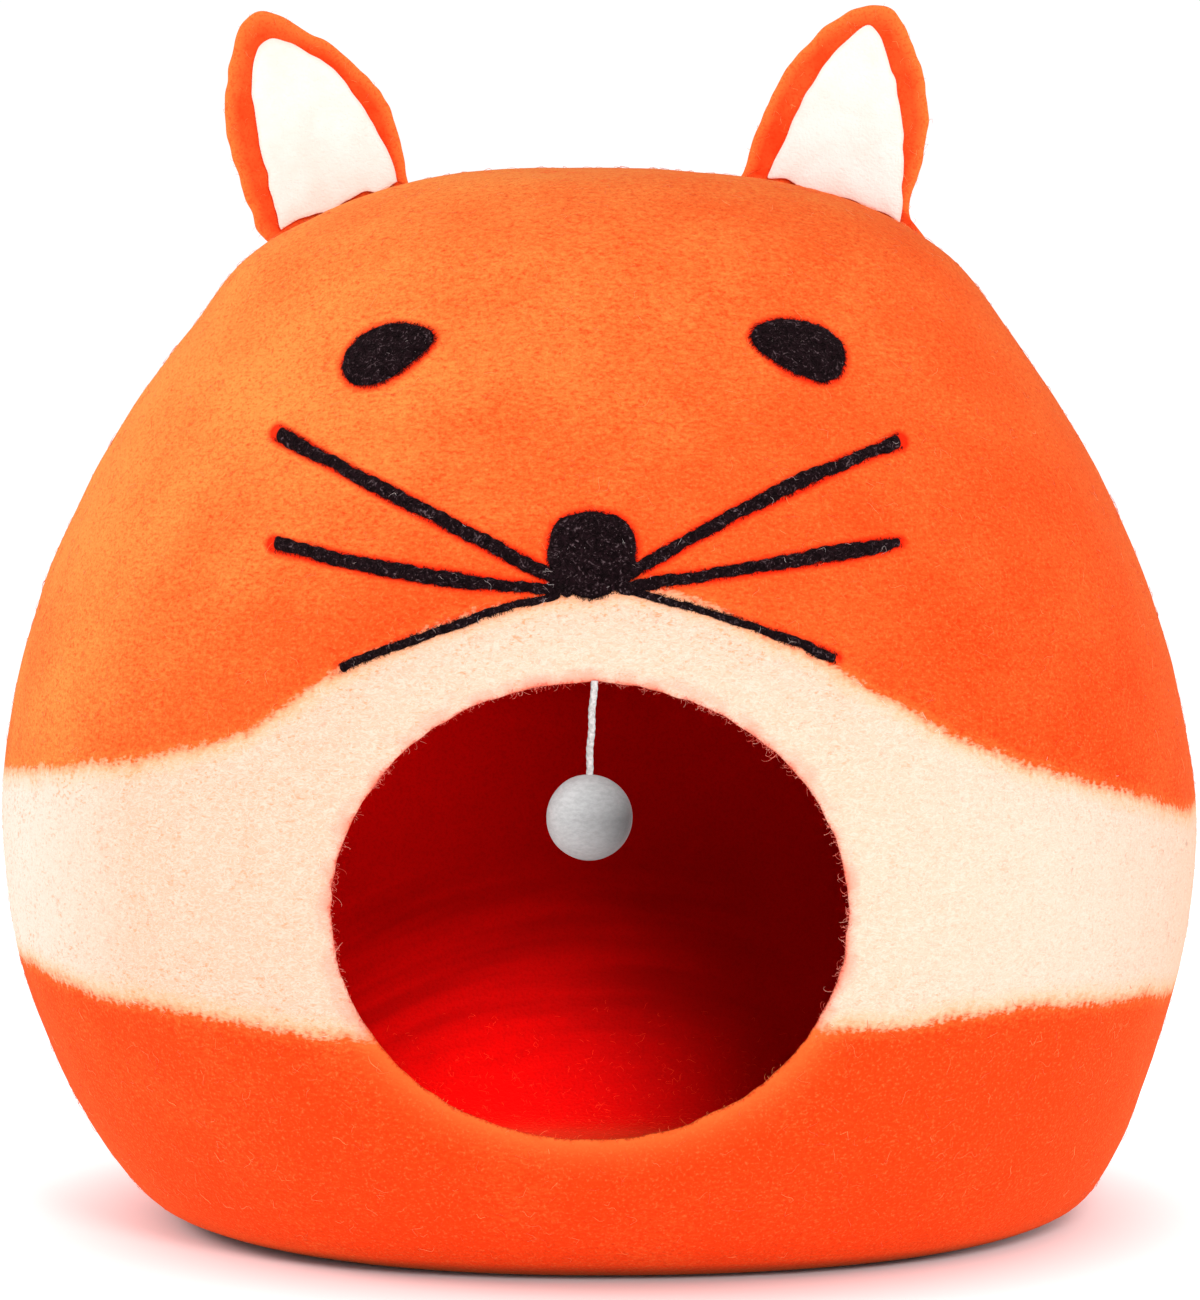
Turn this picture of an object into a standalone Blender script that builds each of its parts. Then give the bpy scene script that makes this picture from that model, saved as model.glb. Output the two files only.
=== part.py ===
"""Felt cat cave with a fox's face.

One seamless felted shell with a mouth in its front, two felt ears with white
inner patches, black felt eyes and nose, six whiskers of black wool strand, and
a felt ball on a short cord in the mouth.

Metres, +Z up. The origin is on the floor under the middle of the shell. The
face looks along -Y, and left is the side at -X, on the left of someone who
looks at the face.
"""

import math

import bmesh
import bpy
import numpy as np

MM = 0.001
GAP = 0.3 * MM  # between pieces that touch

# The shell's outer face: each row is a level section, in millimetres, with how
# far it reaches from the middle line to the left, right, front and back.
SHELL_SECTIONS = (
    # height, left, right, front, back
    (0, 150, 172, 148, 153),
    (7, 183, 200, 168, 172),
    (28, 205, 216, 186, 187),
    (62, 225, 229, 205, 203),
    (110, 242, 243, 222, 215),
    (165, 249, 249, 229, 219),
    (212, 245, 243, 224, 214),
    (254, 235, 232, 210, 203),
    (296, 218, 215, 191, 187),
    (335, 197, 194, 168, 168),
    (371, 171, 170, 143, 145),
    (402, 146, 145, 117, 120),
    (424, 104, 105, 82, 88),
    (434, 62, 60, 48, 52),
    (437, 0, 0, 0, 0),
)
SQUARENESS = 2.15  # 2 makes each section an ellipse, more makes it squarer
WALL = 7 * MM
SHELL_COLUMNS = 56
STEPS_PER_SECTION = 2

# The mouth, as seen from the front. Its lip is rubbed round.
MOUTH_X = -4 * MM
MOUTH_Z = 149 * MM
MOUTH_HALF_WIDTH = 99 * MM
MOUTH_HALF_HEIGHT = 89 * MM
MOUTH_COLUMNS = 48
LIP_ROUNDING = 3 * MM
LIP_STEPS = 7
CUTTER_REACH = 60 * MM  # how far the mouth's cutter runs past the wall on each side

# The ears stand on the roof's ridge. A lean above 0 is towards +X.
EARS = (
    # side, base x, base z, lean in degrees, half width, height, and how far the
    # foot of the white patch lies to the right of the ear's middle (millimetres)
    ("left", -111, 418, -18, 35.0, 88.0, 4.0),
    ("right", 94.5, 423, 13, 36.0, 86.0, 0.5),
)
EAR_THICKNESS = 6 * MM
EAR_FRONT = 4 * MM  # how far the ear's middle plane lies in front of the ridge
EAR_CUP = 5 * MM  # how far its side edges curl forward
EAR_TIP_SWEEP = 3.5 * MM  # how far the tip is drawn outwards
EAR_ROOT = 0.2  # share of the height that runs down to be cut on the roof
EAR_COLUMNS = 20
EAR_ROWS = 11
INNER_EAR_THICKNESS = 2 * MM
INNER_EAR_BORDER = 10 * MM  # width of the bare edge of the ear

# Each eye is a drop, its narrow end up and towards the nose.
EYES = (
    # side, x, z, tilt in degrees (millimetres)
    ("left", -81.0, 360.0, 18),
    ("right", 76.0, 361.0, 162),
)
EYE_LENGTH = 39 * MM
EYE_WIDTH = 24 * MM
EYE_NARROWING = 0.28  # how much the narrow end is drawn in
NOSE_X = -3 * MM
NOSE_Z = 283 * MM
NOSE_WIDTH = 34 * MM
NOSE_HEIGHT = 33 * MM
NOSE_CHIN = 0.32  # share of its width that it loses at the bottom
PATCH_THICKNESS = 3 * MM
PATCH_COLUMNS = 24
# The section of an applied patch, from the middle of its back to that of its face.
PATCH_PROFILE = (
    # share of the radius, share of the thickness
    (0.5, 0.0),
    (0.97, 0.0),
    (1.0, 0.4),
    (0.93, 0.8),
    (0.75, 0.97),
    (0.4, 1.0),
)

# The whiskers, as seen from the front: outer end, middle and inner end.
WHISKERS = (
    # name, x and z of the outer end, of the middle and of the inner end, outer
    # width, inner width (millimetres)
    ("left_top", -125, 329, -71, 302, -20, 277, 5.2, 4.2),
    ("left_mid", -125, 287, -71, 277, -16, 271, 5.0, 3.4),
    ("left_low", -98, 241, -61, 256, -26, 267, 4.0, 3.0),
    ("right_top", 116, 326, 64, 305, 15, 279, 4.6, 4.0),
    ("right_mid", 115, 288, 64, 280, 11, 272, 5.2, 3.6),
    ("right_low", 89, 245, 53, 259, 18, 269, 4.2, 3.0),
)
WHISKER_FLATNESS = 0.7  # its height over its width
WHISKER_STEPS = 14
WHISKER_SIDES = 8

# The toy hangs from the top of the mouth.
TOY_X = -4 * MM
BALL_DIAMETER = 32.5 * MM
CORD_DIAMETER = 2.6 * MM
CORD_LENGTH = 35 * MM
CORD_POINTS = 7

ORANGE = (0.96, 0.15, 0.024)
CREAM = (0.93, 0.80, 0.68)
BLACK = (0.012, 0.008, 0.010)
GREY = (0.42, 0.42, 0.42)
CORD_WHITE = (0.66, 0.65, 0.63)


def material(name, colour, roughness):
    made = bpy.data.materials.new(name)
    made.use_nodes = True
    shader = made.node_tree.nodes["Principled BSDF"]
    shader.inputs["Base Color"].default_value = (*colour, 1.0)
    shader.inputs["Roughness"].default_value = roughness
    shader.inputs["Metallic"].default_value = 0.0
    return made


def loft(name, rings, first, last):
    """A closed mesh through equal rings of points, with a fan to a point at each end."""
    rings = np.asarray(rings, float)
    rows, columns = rings.shape[:2]
    made = bmesh.new()
    verts = [[made.verts.new(point) for point in ring] for ring in rings]
    for row in range(rows - 1):
        for column in range(columns):
            nxt = (column + 1) % columns
            corners = (verts[row][column], verts[row][nxt], verts[row + 1][nxt], verts[row + 1][column])
            made.faces.new(corners)
    for ring, tip in ((verts[0], first), (verts[-1], last)):
        top = made.verts.new(tip)
        for column in range(columns):
            made.faces.new((ring[column], ring[(column + 1) % columns], top))
    bmesh.ops.recalc_face_normals(made, faces=made.faces)
    mesh = bpy.data.meshes.new(name)
    made.to_mesh(mesh)
    made.free()
    mesh.shade_smooth()
    mesh.set_sharp_from_angle(angle=math.radians(50))
    thing = bpy.data.objects.new(name, mesh)
    bpy.context.scene.collection.objects.link(thing)
    return thing


def as_cutter(thing):
    thing.hide_render = True
    thing.display_type = "WIRE"
    return thing


def cut_away(thing, cutter):
    cut = thing.modifiers.new("cut", "BOOLEAN")
    cut.operation = "DIFFERENCE"
    cut.solver = "EXACT"
    cut.object = cutter


def smooth_through(rows, steps):
    """A Catmull-Rom curve through the table's rows, with steps points to a row.

    Before the first row the curve is mirrored in the floor and after the last
    one in the middle line, so that it leaves both of them level.
    """
    rows = np.asarray(rows, float)
    before = np.concatenate([rows[1, :1], 2 * rows[0, 1:] - rows[1, 1:]])
    after = np.concatenate([rows[-2, :1], -rows[-2, 1:]])
    rows = np.vstack([before, rows, after])
    p0, p1, p2, p3 = (rows[i : len(rows) - 3 + i, None, :] for i in range(4))
    t = (np.arange(steps) / steps)[None, :, None]
    curve = (
        2 * p1
        + (p2 - p0) * t
        + (2 * p0 - 5 * p1 + 4 * p2 - p3) * t**2
        + (3 * p1 - p0 - 3 * p2 + p3) * t**3
    ) / 2
    return np.vstack([curve.reshape(-1, rows.shape[1]), rows[-2]]) * MM


FINE_SECTIONS = smooth_through(SHELL_SECTIONS, 40)


def reach(height, side):
    """How far the shell reaches at a height, to side 1 left, 2 right, 3 front or 4 back."""
    return np.interp(height, FINE_SECTIONS[:, 0], FINE_SECTIONS[:, side])


def section_ring(row, columns, grown=0.0):
    """A level section as a superellipse whose four reaches are the row's."""
    height, left, right, front, back = row
    angle = 2 * np.pi * np.arange(columns) / columns
    c = np.cos(angle)
    s = np.sin(angle)
    x = np.where(c < 0, left, right) + grown
    y = np.where(s < 0, front, back) + grown
    x = x * np.sign(c) * np.abs(c) ** (2 / SQUARENESS)
    y = y * np.sign(s) * np.abs(s) ** (2 / SQUARENESS)
    return np.stack([x, y, np.full(columns, height)], axis=1)


def shell_form(name, grown=0.0):
    """The closed outer form of the shell, or a form that is larger all over."""
    rows = smooth_through(SHELL_SECTIONS, STEPS_PER_SECTION)
    rings = [section_ring(row, SHELL_COLUMNS, grown) for row in rows[:-1]]
    rings = np.array(rings)
    rings[1:, :, 2] += grown
    rings[0, :, 2] -= grown
    return loft(name, rings, (0, 0, -grown), (0, 0, rows[-1][0] + grown))


def front_y(x, z):
    """The shell's front face: its y at a place seen from the front."""
    x = np.asarray(x, float)
    side = np.where(x < 0, reach(z, 1), reach(z, 2))
    within = np.clip(1 - np.abs(x / side) ** SQUARENESS, 0, 1)
    return -reach(z, 3) * within ** (1 / SQUARENESS)


def front_normal(x, z):
    """Unit vectors square to the front face, pointing out of the shell."""
    step = 1 * MM
    along_x = (front_y(x + step, z) - front_y(x - step, z)) / (2 * step)
    along_z = (front_y(x, z + step) - front_y(x, z - step)) / (2 * step)
    normal = np.stack([along_x, -np.ones_like(along_x), along_z], axis=-1)
    return normal / np.linalg.norm(normal, axis=-1, keepdims=True)


def on_face(x, z, lifted):
    """Points that stand this far off the front face."""
    x = np.asarray(x, float)
    z = np.asarray(z, float)
    points = np.stack([x, front_y(x, z), z], axis=-1)
    return points + front_normal(x, z) * lifted


def circle(columns):
    angle = 2 * np.pi * np.arange(columns) / columns
    return np.cos(angle), np.sin(angle)


def mouth_cutter():
    """A tube along y that swells towards both faces of the wall, which leaves a round lip."""
    c, s = circle(MOUTH_COLUMNS)
    face = front_y(MOUTH_X + MOUTH_HALF_WIDTH * c, MOUTH_Z + MOUTH_HALF_HEIGHT * s)
    lip_angles = np.linspace(-math.pi / 2, math.pi / 2, LIP_STEPS)
    depths = WALL / 2 * (1 + np.sin(lip_angles))
    swells = LIP_ROUNDING * (1 - np.cos(lip_angles))
    depths = np.concatenate([[-CUTTER_REACH], depths, [CUTTER_REACH]])
    swells = np.concatenate([swells[:1], swells, swells[-1:]])
    rings = []
    for depth, swell in zip(depths, swells):
        x = MOUTH_X + (MOUTH_HALF_WIDTH + swell) * c
        z = MOUTH_Z + (MOUTH_HALF_HEIGHT + swell) * s
        rings.append(np.stack([x, face + depth, z], axis=1))
    ends = [(MOUTH_X, ring[:, 1].mean(), MOUTH_Z) for ring in (rings[0], rings[-1])]
    return as_cutter(loft("mouth_cutter", rings, *ends))


def build_shell(felt):
    shell = shell_form("shell")
    shell.data.materials.append(felt)
    wall = shell.modifiers.new("felt wall", "SOLIDIFY")
    wall.thickness = WALL
    wall.offset = -1
    wall.use_even_offset = True
    cut_away(shell, mouth_cutter())


def ear_half_width(share, half_width):
    """The ear's outline: sides that bulge a little above the foot and close in a round tip."""
    drawn_in = 0.1 * np.clip(1 - share / 0.3, 0, 1) ** 2
    return half_width * (1 - drawn_in) * (1 - np.clip(share, 0, 1) ** 3.3) ** 0.8


def ear_points(ear, across, up, forward):
    """Places on a leaning, cupped ear, from distances in its own plane."""
    side, base_x, base_z, lean, half_width, height, patch_shift = ear
    angle = math.radians(lean)
    cup = EAR_CUP * (across / (half_width * MM)) ** 2
    across = across + math.copysign(EAR_TIP_SWEEP, lean) * (up / (height * MM)) ** 2
    x = base_x * MM + across * math.cos(angle) + up * math.sin(angle)
    z = base_z * MM - across * math.sin(angle) + up * math.cos(angle)
    y = -EAR_FRONT - cup - forward
    return np.stack(np.broadcast_arrays(x, y, z), axis=-1)


def build_ear(ear, felt, roof_cutter):
    """A flap whose level sections are flat and round-edged, cut off on the roof."""
    side, base_x, base_z, lean, half_width, height, patch_shift = ear
    half_width, height = half_width * MM, height * MM
    c, s = circle(EAR_COLUMNS)
    squared = 0.6  # below 1 makes the section's ends blunt
    shares = np.sin(np.linspace(0.12, 0.97, EAR_ROWS) * math.pi / 2)
    rings = []
    for share in (-EAR_ROOT, 0.0, *shares):
        width = ear_half_width(share, half_width)
        thinned = min(1.0, 2.2 * width / half_width) ** 0.5
        across = width * np.sign(c) * np.abs(c) ** squared
        forward = EAR_THICKNESS / 2 * thinned * np.sign(s) * np.abs(s) ** squared
        rings.append(ear_points(ear, across, share * height, forward))
    foot = ear_points(ear, 0.0, -EAR_ROOT * height, 0.0)
    tip = ear_points(ear, 0.0, height, 0.0)
    made = loft("ear_" + side, rings, foot, tip)
    made.data.materials.append(felt)
    cut_away(made, roof_cutter)


def inner_ear_outline(ear):
    """The ear's outline drawn in by the border, its foot shifted to one side."""
    side, base_x, base_z, lean, half_width, height, patch_shift = ear
    patch_height = height * MM - INNER_EAR_BORDER
    shares = np.concatenate([[-EAR_ROOT], np.sin(np.arange(8) / 8 * math.pi / 2)])
    widths = ear_half_width(shares, half_width * MM - INNER_EAR_BORDER)
    right_edge = np.stack([widths, shares * patch_height], axis=1)
    left_edge = right_edge[::-1] * (-1, 1)
    outline = np.vstack([right_edge, [(0.0, patch_height)], left_edge])
    outline[:, 0] += patch_shift * MM * (1 - outline[:, 1] / patch_height)
    return outline, np.array([0.0, patch_height * 0.35])


def build_inner_ear(ear, felt, roof_cutter):
    """The white patch, a thin pad on the ear's front."""
    outline, middle = inner_ear_outline(ear)
    back = EAR_THICKNESS / 2 + GAP
    rings = []
    for radius, lift in PATCH_PROFILE:
        across, up = (middle + (outline - middle) * radius).T
        rings.append(ear_points(ear, across, up, back + lift * INNER_EAR_THICKNESS))
    ends = [ear_points(ear, *middle, back), ear_points(ear, *middle, back + INNER_EAR_THICKNESS)]
    made = loft("inner_ear_" + ear[0], rings, *ends)
    made.data.materials.append(felt)
    cut_away(made, roof_cutter)


def face_patch(name, x, z, outline_x, outline_z, felt):
    """A pad that follows the face, with a flat back just off it and a round edge."""
    rings = []
    for radius, lift in PATCH_PROFILE:
        lifted = GAP + lift * PATCH_THICKNESS
        rings.append(on_face(x + outline_x * radius, z + outline_z * radius, lifted))
    ends = [on_face(x, z, GAP), on_face(x, z, GAP + PATCH_THICKNESS)]
    made = loft(name, rings, *ends)
    made.data.materials.append(felt)


def eye_outline(tilt):
    """A drop: an ellipse whose one end is drawn in, turned by the tilt."""
    c, s = circle(PATCH_COLUMNS)
    along = EYE_LENGTH / 2 * c
    across = EYE_WIDTH / 2 * s * (1 - EYE_NARROWING * c)
    angle = math.radians(tilt)
    return (
        along * math.cos(angle) - across * math.sin(angle),
        along * math.sin(angle) + across * math.cos(angle),
    )


def nose_outline():
    """A broad pad with a round top that narrows to a blunt chin."""
    c, s = circle(PATCH_COLUMNS)
    narrowed = 1 + NOSE_CHIN * np.minimum(s, 0) ** 3
    across = NOSE_WIDTH / 2 * np.sign(c) * np.abs(c) ** 0.85 * narrowed
    up = NOSE_HEIGHT / 2 * np.sign(s) * np.abs(s) ** 0.9
    return across, up


def through_three(outer, middle, inner, t):
    """A parabola through three places, at shares t of its way."""
    t = t[:, None]
    return outer * (1 - t) * (1 - 2 * t) + middle * 4 * t * (1 - t) + inner * t * (2 * t - 1)


def build_whisker(whisker, wool):
    """A flattened strand that lies along the face, with round ends."""
    t = np.linspace(0, 1, WHISKER_STEPS)
    outer, middle, inner = np.array(whisker[1:7], float).reshape(3, 2) * MM
    x, z = through_three(outer, middle, inner, t).T
    outer_width, inner_width = whisker[7] * MM, whisker[8] * MM
    steps_to_end = np.minimum(t, 1 - t) * (WHISKER_STEPS - 1)
    rounded = np.sqrt(np.clip(steps_to_end / 1.5, 0.35, 1))
    half = (outer_width + (inner_width - outer_width) * t) / 2 * rounded
    core = on_face(x, z, GAP + outer_width / 2 * WHISKER_FLATNESS)
    normal = front_normal(x, z)
    side = np.cross(normal, np.gradient(core, axis=0))
    side = side / np.linalg.norm(side, axis=1, keepdims=True)
    c, s = circle(WHISKER_SIDES)
    rings = (
        core[:, None]
        + side[:, None] * (half[:, None] * c)[..., None]
        + normal[:, None] * (half[:, None] * WHISKER_FLATNESS * s)[..., None]
    )
    made = loft("whisker_" + whisker[0], rings, core[0], core[-1])
    made.data.materials.append(wool)


def build_toy(ball_felt, cord_yarn):
    """A ball on a cord that hangs from the middle of the lip's underside."""
    lip_top = MOUTH_Z + MOUTH_HALF_HEIGHT
    y = float(front_y(TOY_X, lip_top)) + WALL / 2
    cord_top = lip_top - GAP
    ball_z = cord_top - CORD_LENGTH - GAP - BALL_DIAMETER / 2
    heights = np.linspace(cord_top, cord_top - CORD_LENGTH, CORD_POINTS)
    curve = bpy.data.curves.new("toy_cord", "CURVE")
    curve.dimensions = "3D"
    curve.bevel_depth = CORD_DIAMETER / 2
    curve.bevel_resolution = 2
    curve.use_fill_caps = True
    spline = curve.splines.new("POLY")
    spline.points.add(CORD_POINTS - 1)
    for point, height in zip(spline.points, heights):
        point.co = (TOY_X, y, height, 1)
    curve.materials.append(cord_yarn)
    bpy.context.scene.collection.objects.link(bpy.data.objects.new("toy_cord", curve))

    ball = bmesh.new()
    bmesh.ops.create_uvsphere(ball, u_segments=24, v_segments=14, radius=BALL_DIAMETER / 2)
    mesh = bpy.data.meshes.new("toy_ball")
    ball.to_mesh(mesh)
    ball.free()
    mesh.shade_smooth()
    mesh.materials.append(ball_felt)
    made = bpy.data.objects.new("toy_ball", mesh)
    made.location = (TOY_X, y, ball_z)
    bpy.context.scene.collection.objects.link(made)


def main():
    for thing in list(bpy.data.objects):
        bpy.data.objects.remove(thing)
    orange = material("orange felt", ORANGE, 0.95)
    cream = material("cream felt", CREAM, 0.95)
    black = material("black felt", BLACK, 0.95)
    grey = material("grey felt", GREY, 0.9)
    white_cord = material("white cord", CORD_WHITE, 0.8)

    build_shell(orange)
    roof_cutter = as_cutter(shell_form("roof_cutter", GAP))
    for ear in EARS:
        build_ear(ear, orange, roof_cutter)
        build_inner_ear(ear, cream, roof_cutter)
    for side, x, z, tilt in EYES:
        face_patch("eye_" + side, x * MM, z * MM, *eye_outline(tilt), black)
    face_patch("nose", NOSE_X, NOSE_Z, *nose_outline(), black)
    for whisker in WHISKERS:
        build_whisker(whisker, black)
    build_toy(grey, white_cord)


main()
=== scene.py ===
# %% [markdown]
# # A felt cat cave with a fox's face
#
# A felt cave is made without a seam. Wool fibres are laid round a form in crossed layers, wetted
# with soap and rubbed until they lock. The form is cut out through the mouth, and the wool is then
# rubbed and shrunk until it stands by itself. The face is black and white wool that is pricked into
# the surface with barbed needles. This lesson dresses the plain solids of such a cave, one piece
# at a time, and each piece is worked out with numpy as a surface of two parameters.

# %% The frame
import math

import bpy
import numpy as np
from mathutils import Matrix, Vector


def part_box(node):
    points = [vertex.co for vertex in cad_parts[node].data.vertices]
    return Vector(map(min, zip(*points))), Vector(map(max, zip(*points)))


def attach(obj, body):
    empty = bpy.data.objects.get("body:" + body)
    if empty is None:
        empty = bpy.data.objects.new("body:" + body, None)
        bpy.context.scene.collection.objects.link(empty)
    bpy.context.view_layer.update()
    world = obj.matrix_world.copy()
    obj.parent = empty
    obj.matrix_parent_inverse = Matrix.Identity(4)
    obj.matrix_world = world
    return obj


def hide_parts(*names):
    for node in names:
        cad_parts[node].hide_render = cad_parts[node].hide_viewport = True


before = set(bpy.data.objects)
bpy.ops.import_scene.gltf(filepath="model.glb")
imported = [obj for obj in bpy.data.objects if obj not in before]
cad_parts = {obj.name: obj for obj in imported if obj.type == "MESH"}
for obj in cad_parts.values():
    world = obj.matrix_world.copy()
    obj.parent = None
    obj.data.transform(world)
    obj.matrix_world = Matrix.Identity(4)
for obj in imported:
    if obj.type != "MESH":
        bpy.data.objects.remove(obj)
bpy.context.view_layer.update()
MM = 0.001

# %% [markdown]
# ## The view
#
# The picture is taken from straight in front, a little above the middle of the cave. A long lens
# from two metres away keeps the round form from bulging towards the camera.

# %% The camera
scene = bpy.context.scene
scene.view_settings.view_transform = "Standard"

EYE = Vector((0.0, -2.0, 0.36))
AIM = Vector((0.0, 0.0, 0.236))
IMAGE_HEIGHT = 1300  # pixels of the whole picture
METRES_PER_PIXEL = 0.00042  # at the aim
SENSOR = 36.0  # millimetres along the picture's longer side


def facing(place, target):
    """The turn that points a camera or a lamp from its place to a target."""
    return (Vector(target) - Vector(place)).to_track_quat("-Z", "Y").to_euler()


camera = bpy.data.objects.new("camera", bpy.data.cameras.new("camera"))
camera.location = EYE
camera.rotation_euler = facing(EYE, AIM)
camera.data.sensor_width = SENSOR
camera.data.lens = SENSOR * (AIM - EYE).length / (METRES_PER_PIXEL * IMAGE_HEIGHT)
scene.collection.objects.link(camera)
scene.camera = camera
print("lens:", round(camera.data.lens, 1), "mm")

# %% [markdown]
# ## The studio
#
# The cave stands on a white sweep in a white room that is darker overhead. One large light in front,
# a little to the right and as high as a window, reaches through the mouth to the back of the den.
# A second one on the left bleaches the fuzzy edge of that side. Two small lamps under the roof stand
# in for the light that a card throws through the mouth, onto the back of the den's floor and onto its
# left wall. The sweep glows a little round the cave and not under it, so it stays white up to a thin
# warm shadow.

# %% Floor, lights and sky
KEY_POWER = 26.0
SIDE_POWER = 17.0
DEN_FLOOR_POWER, DEN_SIDE_POWER = 6.6, 1.65
FLOOR_GLOW = 0.5
GLOW_STARTS, GLOW_IS_FULL = 0.17, 0.25  # metres from the middle of the floor
SKY_LOW, SKY_HIGH = 1.03, 0.5  # strength at the horizon and overhead


def shaded(name):
    """A new material, with its node tree and its Principled shader."""
    made = bpy.data.materials.new(name)
    made.use_nodes = True
    return made, made.node_tree, made.node_tree.nodes["Principled BSDF"]


def add_lamp(name, kind, place, target, power, **settings):
    """A lamp of a kind at a place, turned to a target; settings are the lamp's own values."""
    lamp = bpy.data.lights.new(name, kind)
    lamp.energy = power
    for key, value in settings.items():
        setattr(lamp, key, value)
    thing = bpy.data.objects.new(name, lamp)
    thing.location = place
    thing.rotation_euler = facing(place, target)
    scene.collection.objects.link(thing)


def pool_lamp(name, place, target, degrees, power):
    """A spot lamp whose round pool of light fades from its middle to its edge."""
    soft = {"spot_blend": 1.0, "shadow_soft_size": 0.04}
    add_lamp(name, "SPOT", place, target, power, spot_size=math.radians(degrees), **soft)


floor_material, floor_tree, floor_shader = shaded("white sweep")
floor_shader.inputs["Base Color"].default_value = (0.85, 0.85, 0.85, 1)
floor_shader.inputs["Roughness"].default_value = 1.0
floor_shader.inputs["Specular IOR Level"].default_value = 0.0
floor_shader.inputs["Emission Color"].default_value = (1, 1, 1, 1)
from_middle = floor_tree.nodes.new("ShaderNodeVectorMath")
from_middle.operation = "LENGTH"
glow = floor_tree.nodes.new("ShaderNodeMapRange")
glow.inputs["From Min"].default_value = GLOW_STARTS
glow.inputs["From Max"].default_value = GLOW_IS_FULL
glow.inputs["To Min"].default_value = 0.0
glow.inputs["To Max"].default_value = FLOOR_GLOW
floor_place = floor_tree.nodes.new("ShaderNodeTexCoord")
floor_tree.links.new(floor_place.outputs["Object"], from_middle.inputs[0])
floor_tree.links.new(from_middle.outputs["Value"], glow.inputs["Value"])
floor_tree.links.new(glow.outputs["Result"], floor_shader.inputs["Emission Strength"])
floor_mesh = bpy.data.meshes.new("floor")
FLOOR_REACH = 30.0
corners = [(x * FLOOR_REACH, y * FLOOR_REACH, -0.0002) for x, y in ((-1, -1), (1, -1), (1, 1), (-1, 1))]
floor_mesh.from_pydata(corners, [], [(0, 1, 2, 3)])
floor_mesh.materials.append(floor_material)
floor = bpy.data.objects.new("floor", floor_mesh)
scene.collection.objects.link(floor)

world = bpy.data.worlds.new("sky")
world.use_nodes = True
sky_nodes, sky_links = world.node_tree.nodes, world.node_tree.links
direction = sky_nodes.new("ShaderNodeTexCoord")
upward = sky_nodes.new("ShaderNodeSeparateXYZ")
fade = sky_nodes.new("ShaderNodeMapRange")
for name, value in (("From Min", 0.15), ("From Max", 0.85), ("To Min", SKY_LOW), ("To Max", SKY_HIGH)):
    fade.inputs[name].default_value = value
sky_links.new(direction.outputs["Generated"], upward.inputs[0])
sky_links.new(upward.outputs["Z"], fade.inputs["Value"])
sky_links.new(fade.outputs["Result"], sky_nodes["Background"].inputs["Strength"])
sky_nodes["Background"].inputs["Color"].default_value = (1, 1, 1, 1)
scene.world = world

add_lamp("key", "AREA", (0.58, -2.17, 1.22), (0.0, 0.0, 0.15), KEY_POWER, shape="DISK", size=0.7)
add_lamp("side", "AREA", (-2.1, 0.0, 1.25), (0.0, 0.0, 0.25), SIDE_POWER, shape="DISK", size=1.0)
pool_lamp("den floor", (0.0, -0.05, 0.28), (-0.035, 0.19, -0.022), 31, DEN_FLOOR_POWER)
pool_lamp("den side", (0.09, -0.12, 0.28), (-0.16, 0.12, 0.10), 66, DEN_SIDE_POWER)

# %% [markdown]
# ## Meshes from arrays
#
# Every surface here is a grid of points: rows run one way over it and columns the other. Two grids
# that share their edge make a closed skin. The helper below turns such a grid into faces without a
# loop over its points, and closes its ends with a fan.

# %% From a grid to a mesh
def link_mesh(name, points, faces, material):
    """A mesh object at the origin, smooth, with one material."""
    mesh = bpy.data.meshes.new(name)
    mesh.from_pydata(points.tolist() if isinstance(points, np.ndarray) else points, [], faces)
    mesh.materials.append(material)
    mesh.shade_smooth()
    mesh.update()
    thing = bpy.data.objects.new(name, mesh)
    scene.collection.objects.link(thing)
    return thing


def tube_faces(rows, columns):
    """Quads between neighbouring rings of a grid whose columns run round and close."""
    row, column = np.meshgrid(np.arange(rows - 1), np.arange(columns), indexing="ij")
    following = (column + 1) % columns
    corners = [
        row * columns + column,
        row * columns + following,
        (row + 1) * columns + following,
        (row + 1) * columns + column,
    ]
    return np.stack(corners, axis=-1).reshape(-1, 4)


def fan_faces(ring, tip):
    """Triangles from one ring to its tip."""
    return np.stack([ring, np.roll(ring, -1), np.full(len(ring), tip)], axis=1)


def closed_tube(name, grid, first_tip, last_tip, material):
    """A grid of rings, closed at both ends by a fan. Its faces are turned about if the sum of
    corner products over its triangles, six times the volume, is below zero."""
    rows, columns = grid.shape[:2]
    points = np.vstack([grid.reshape(-1, 3), first_tip, last_tip])
    quads = tube_faces(rows, columns)
    first = fan_faces(np.arange(columns), rows * columns)[:, ::-1]
    last = fan_faces(np.arange(columns) + (rows - 1) * columns, rows * columns + 1)
    triangles = np.vstack([quads[:, :3], quads[:, [0, 2, 3]], first, last])
    a, b, c = (points[triangles[:, corner]] - points[0] for corner in range(3))
    way = 1 if np.sum(a * np.cross(b, c)) > 0 else -1
    faces = [part[:, ::way].tolist() for part in (quads, first, last)]
    return link_mesh(name, points, sum(faces, []), material)


def add_attribute(thing, name, values):
    """A number or a vector for each point that a material can read by this name."""
    values = np.asarray(values, np.float32)
    is_vector = values.ndim == 2 and values.shape[1] == 3
    made = thing.data.attributes.new(name, "FLOAT_VECTOR" if is_vector else "FLOAT", "POINT")
    made.data.foreach_set("vector" if is_vector else "value", values.ravel())


def finish_piece(thing, slot_name, *nodes):
    """Rides the piece on the cave and hides the solids whose place it takes; slot_name is not used."""
    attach(thing, "root")
    if nodes:
        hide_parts(*nodes)
    print(thing.name, len(thing.data.polygons), "faces")


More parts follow.
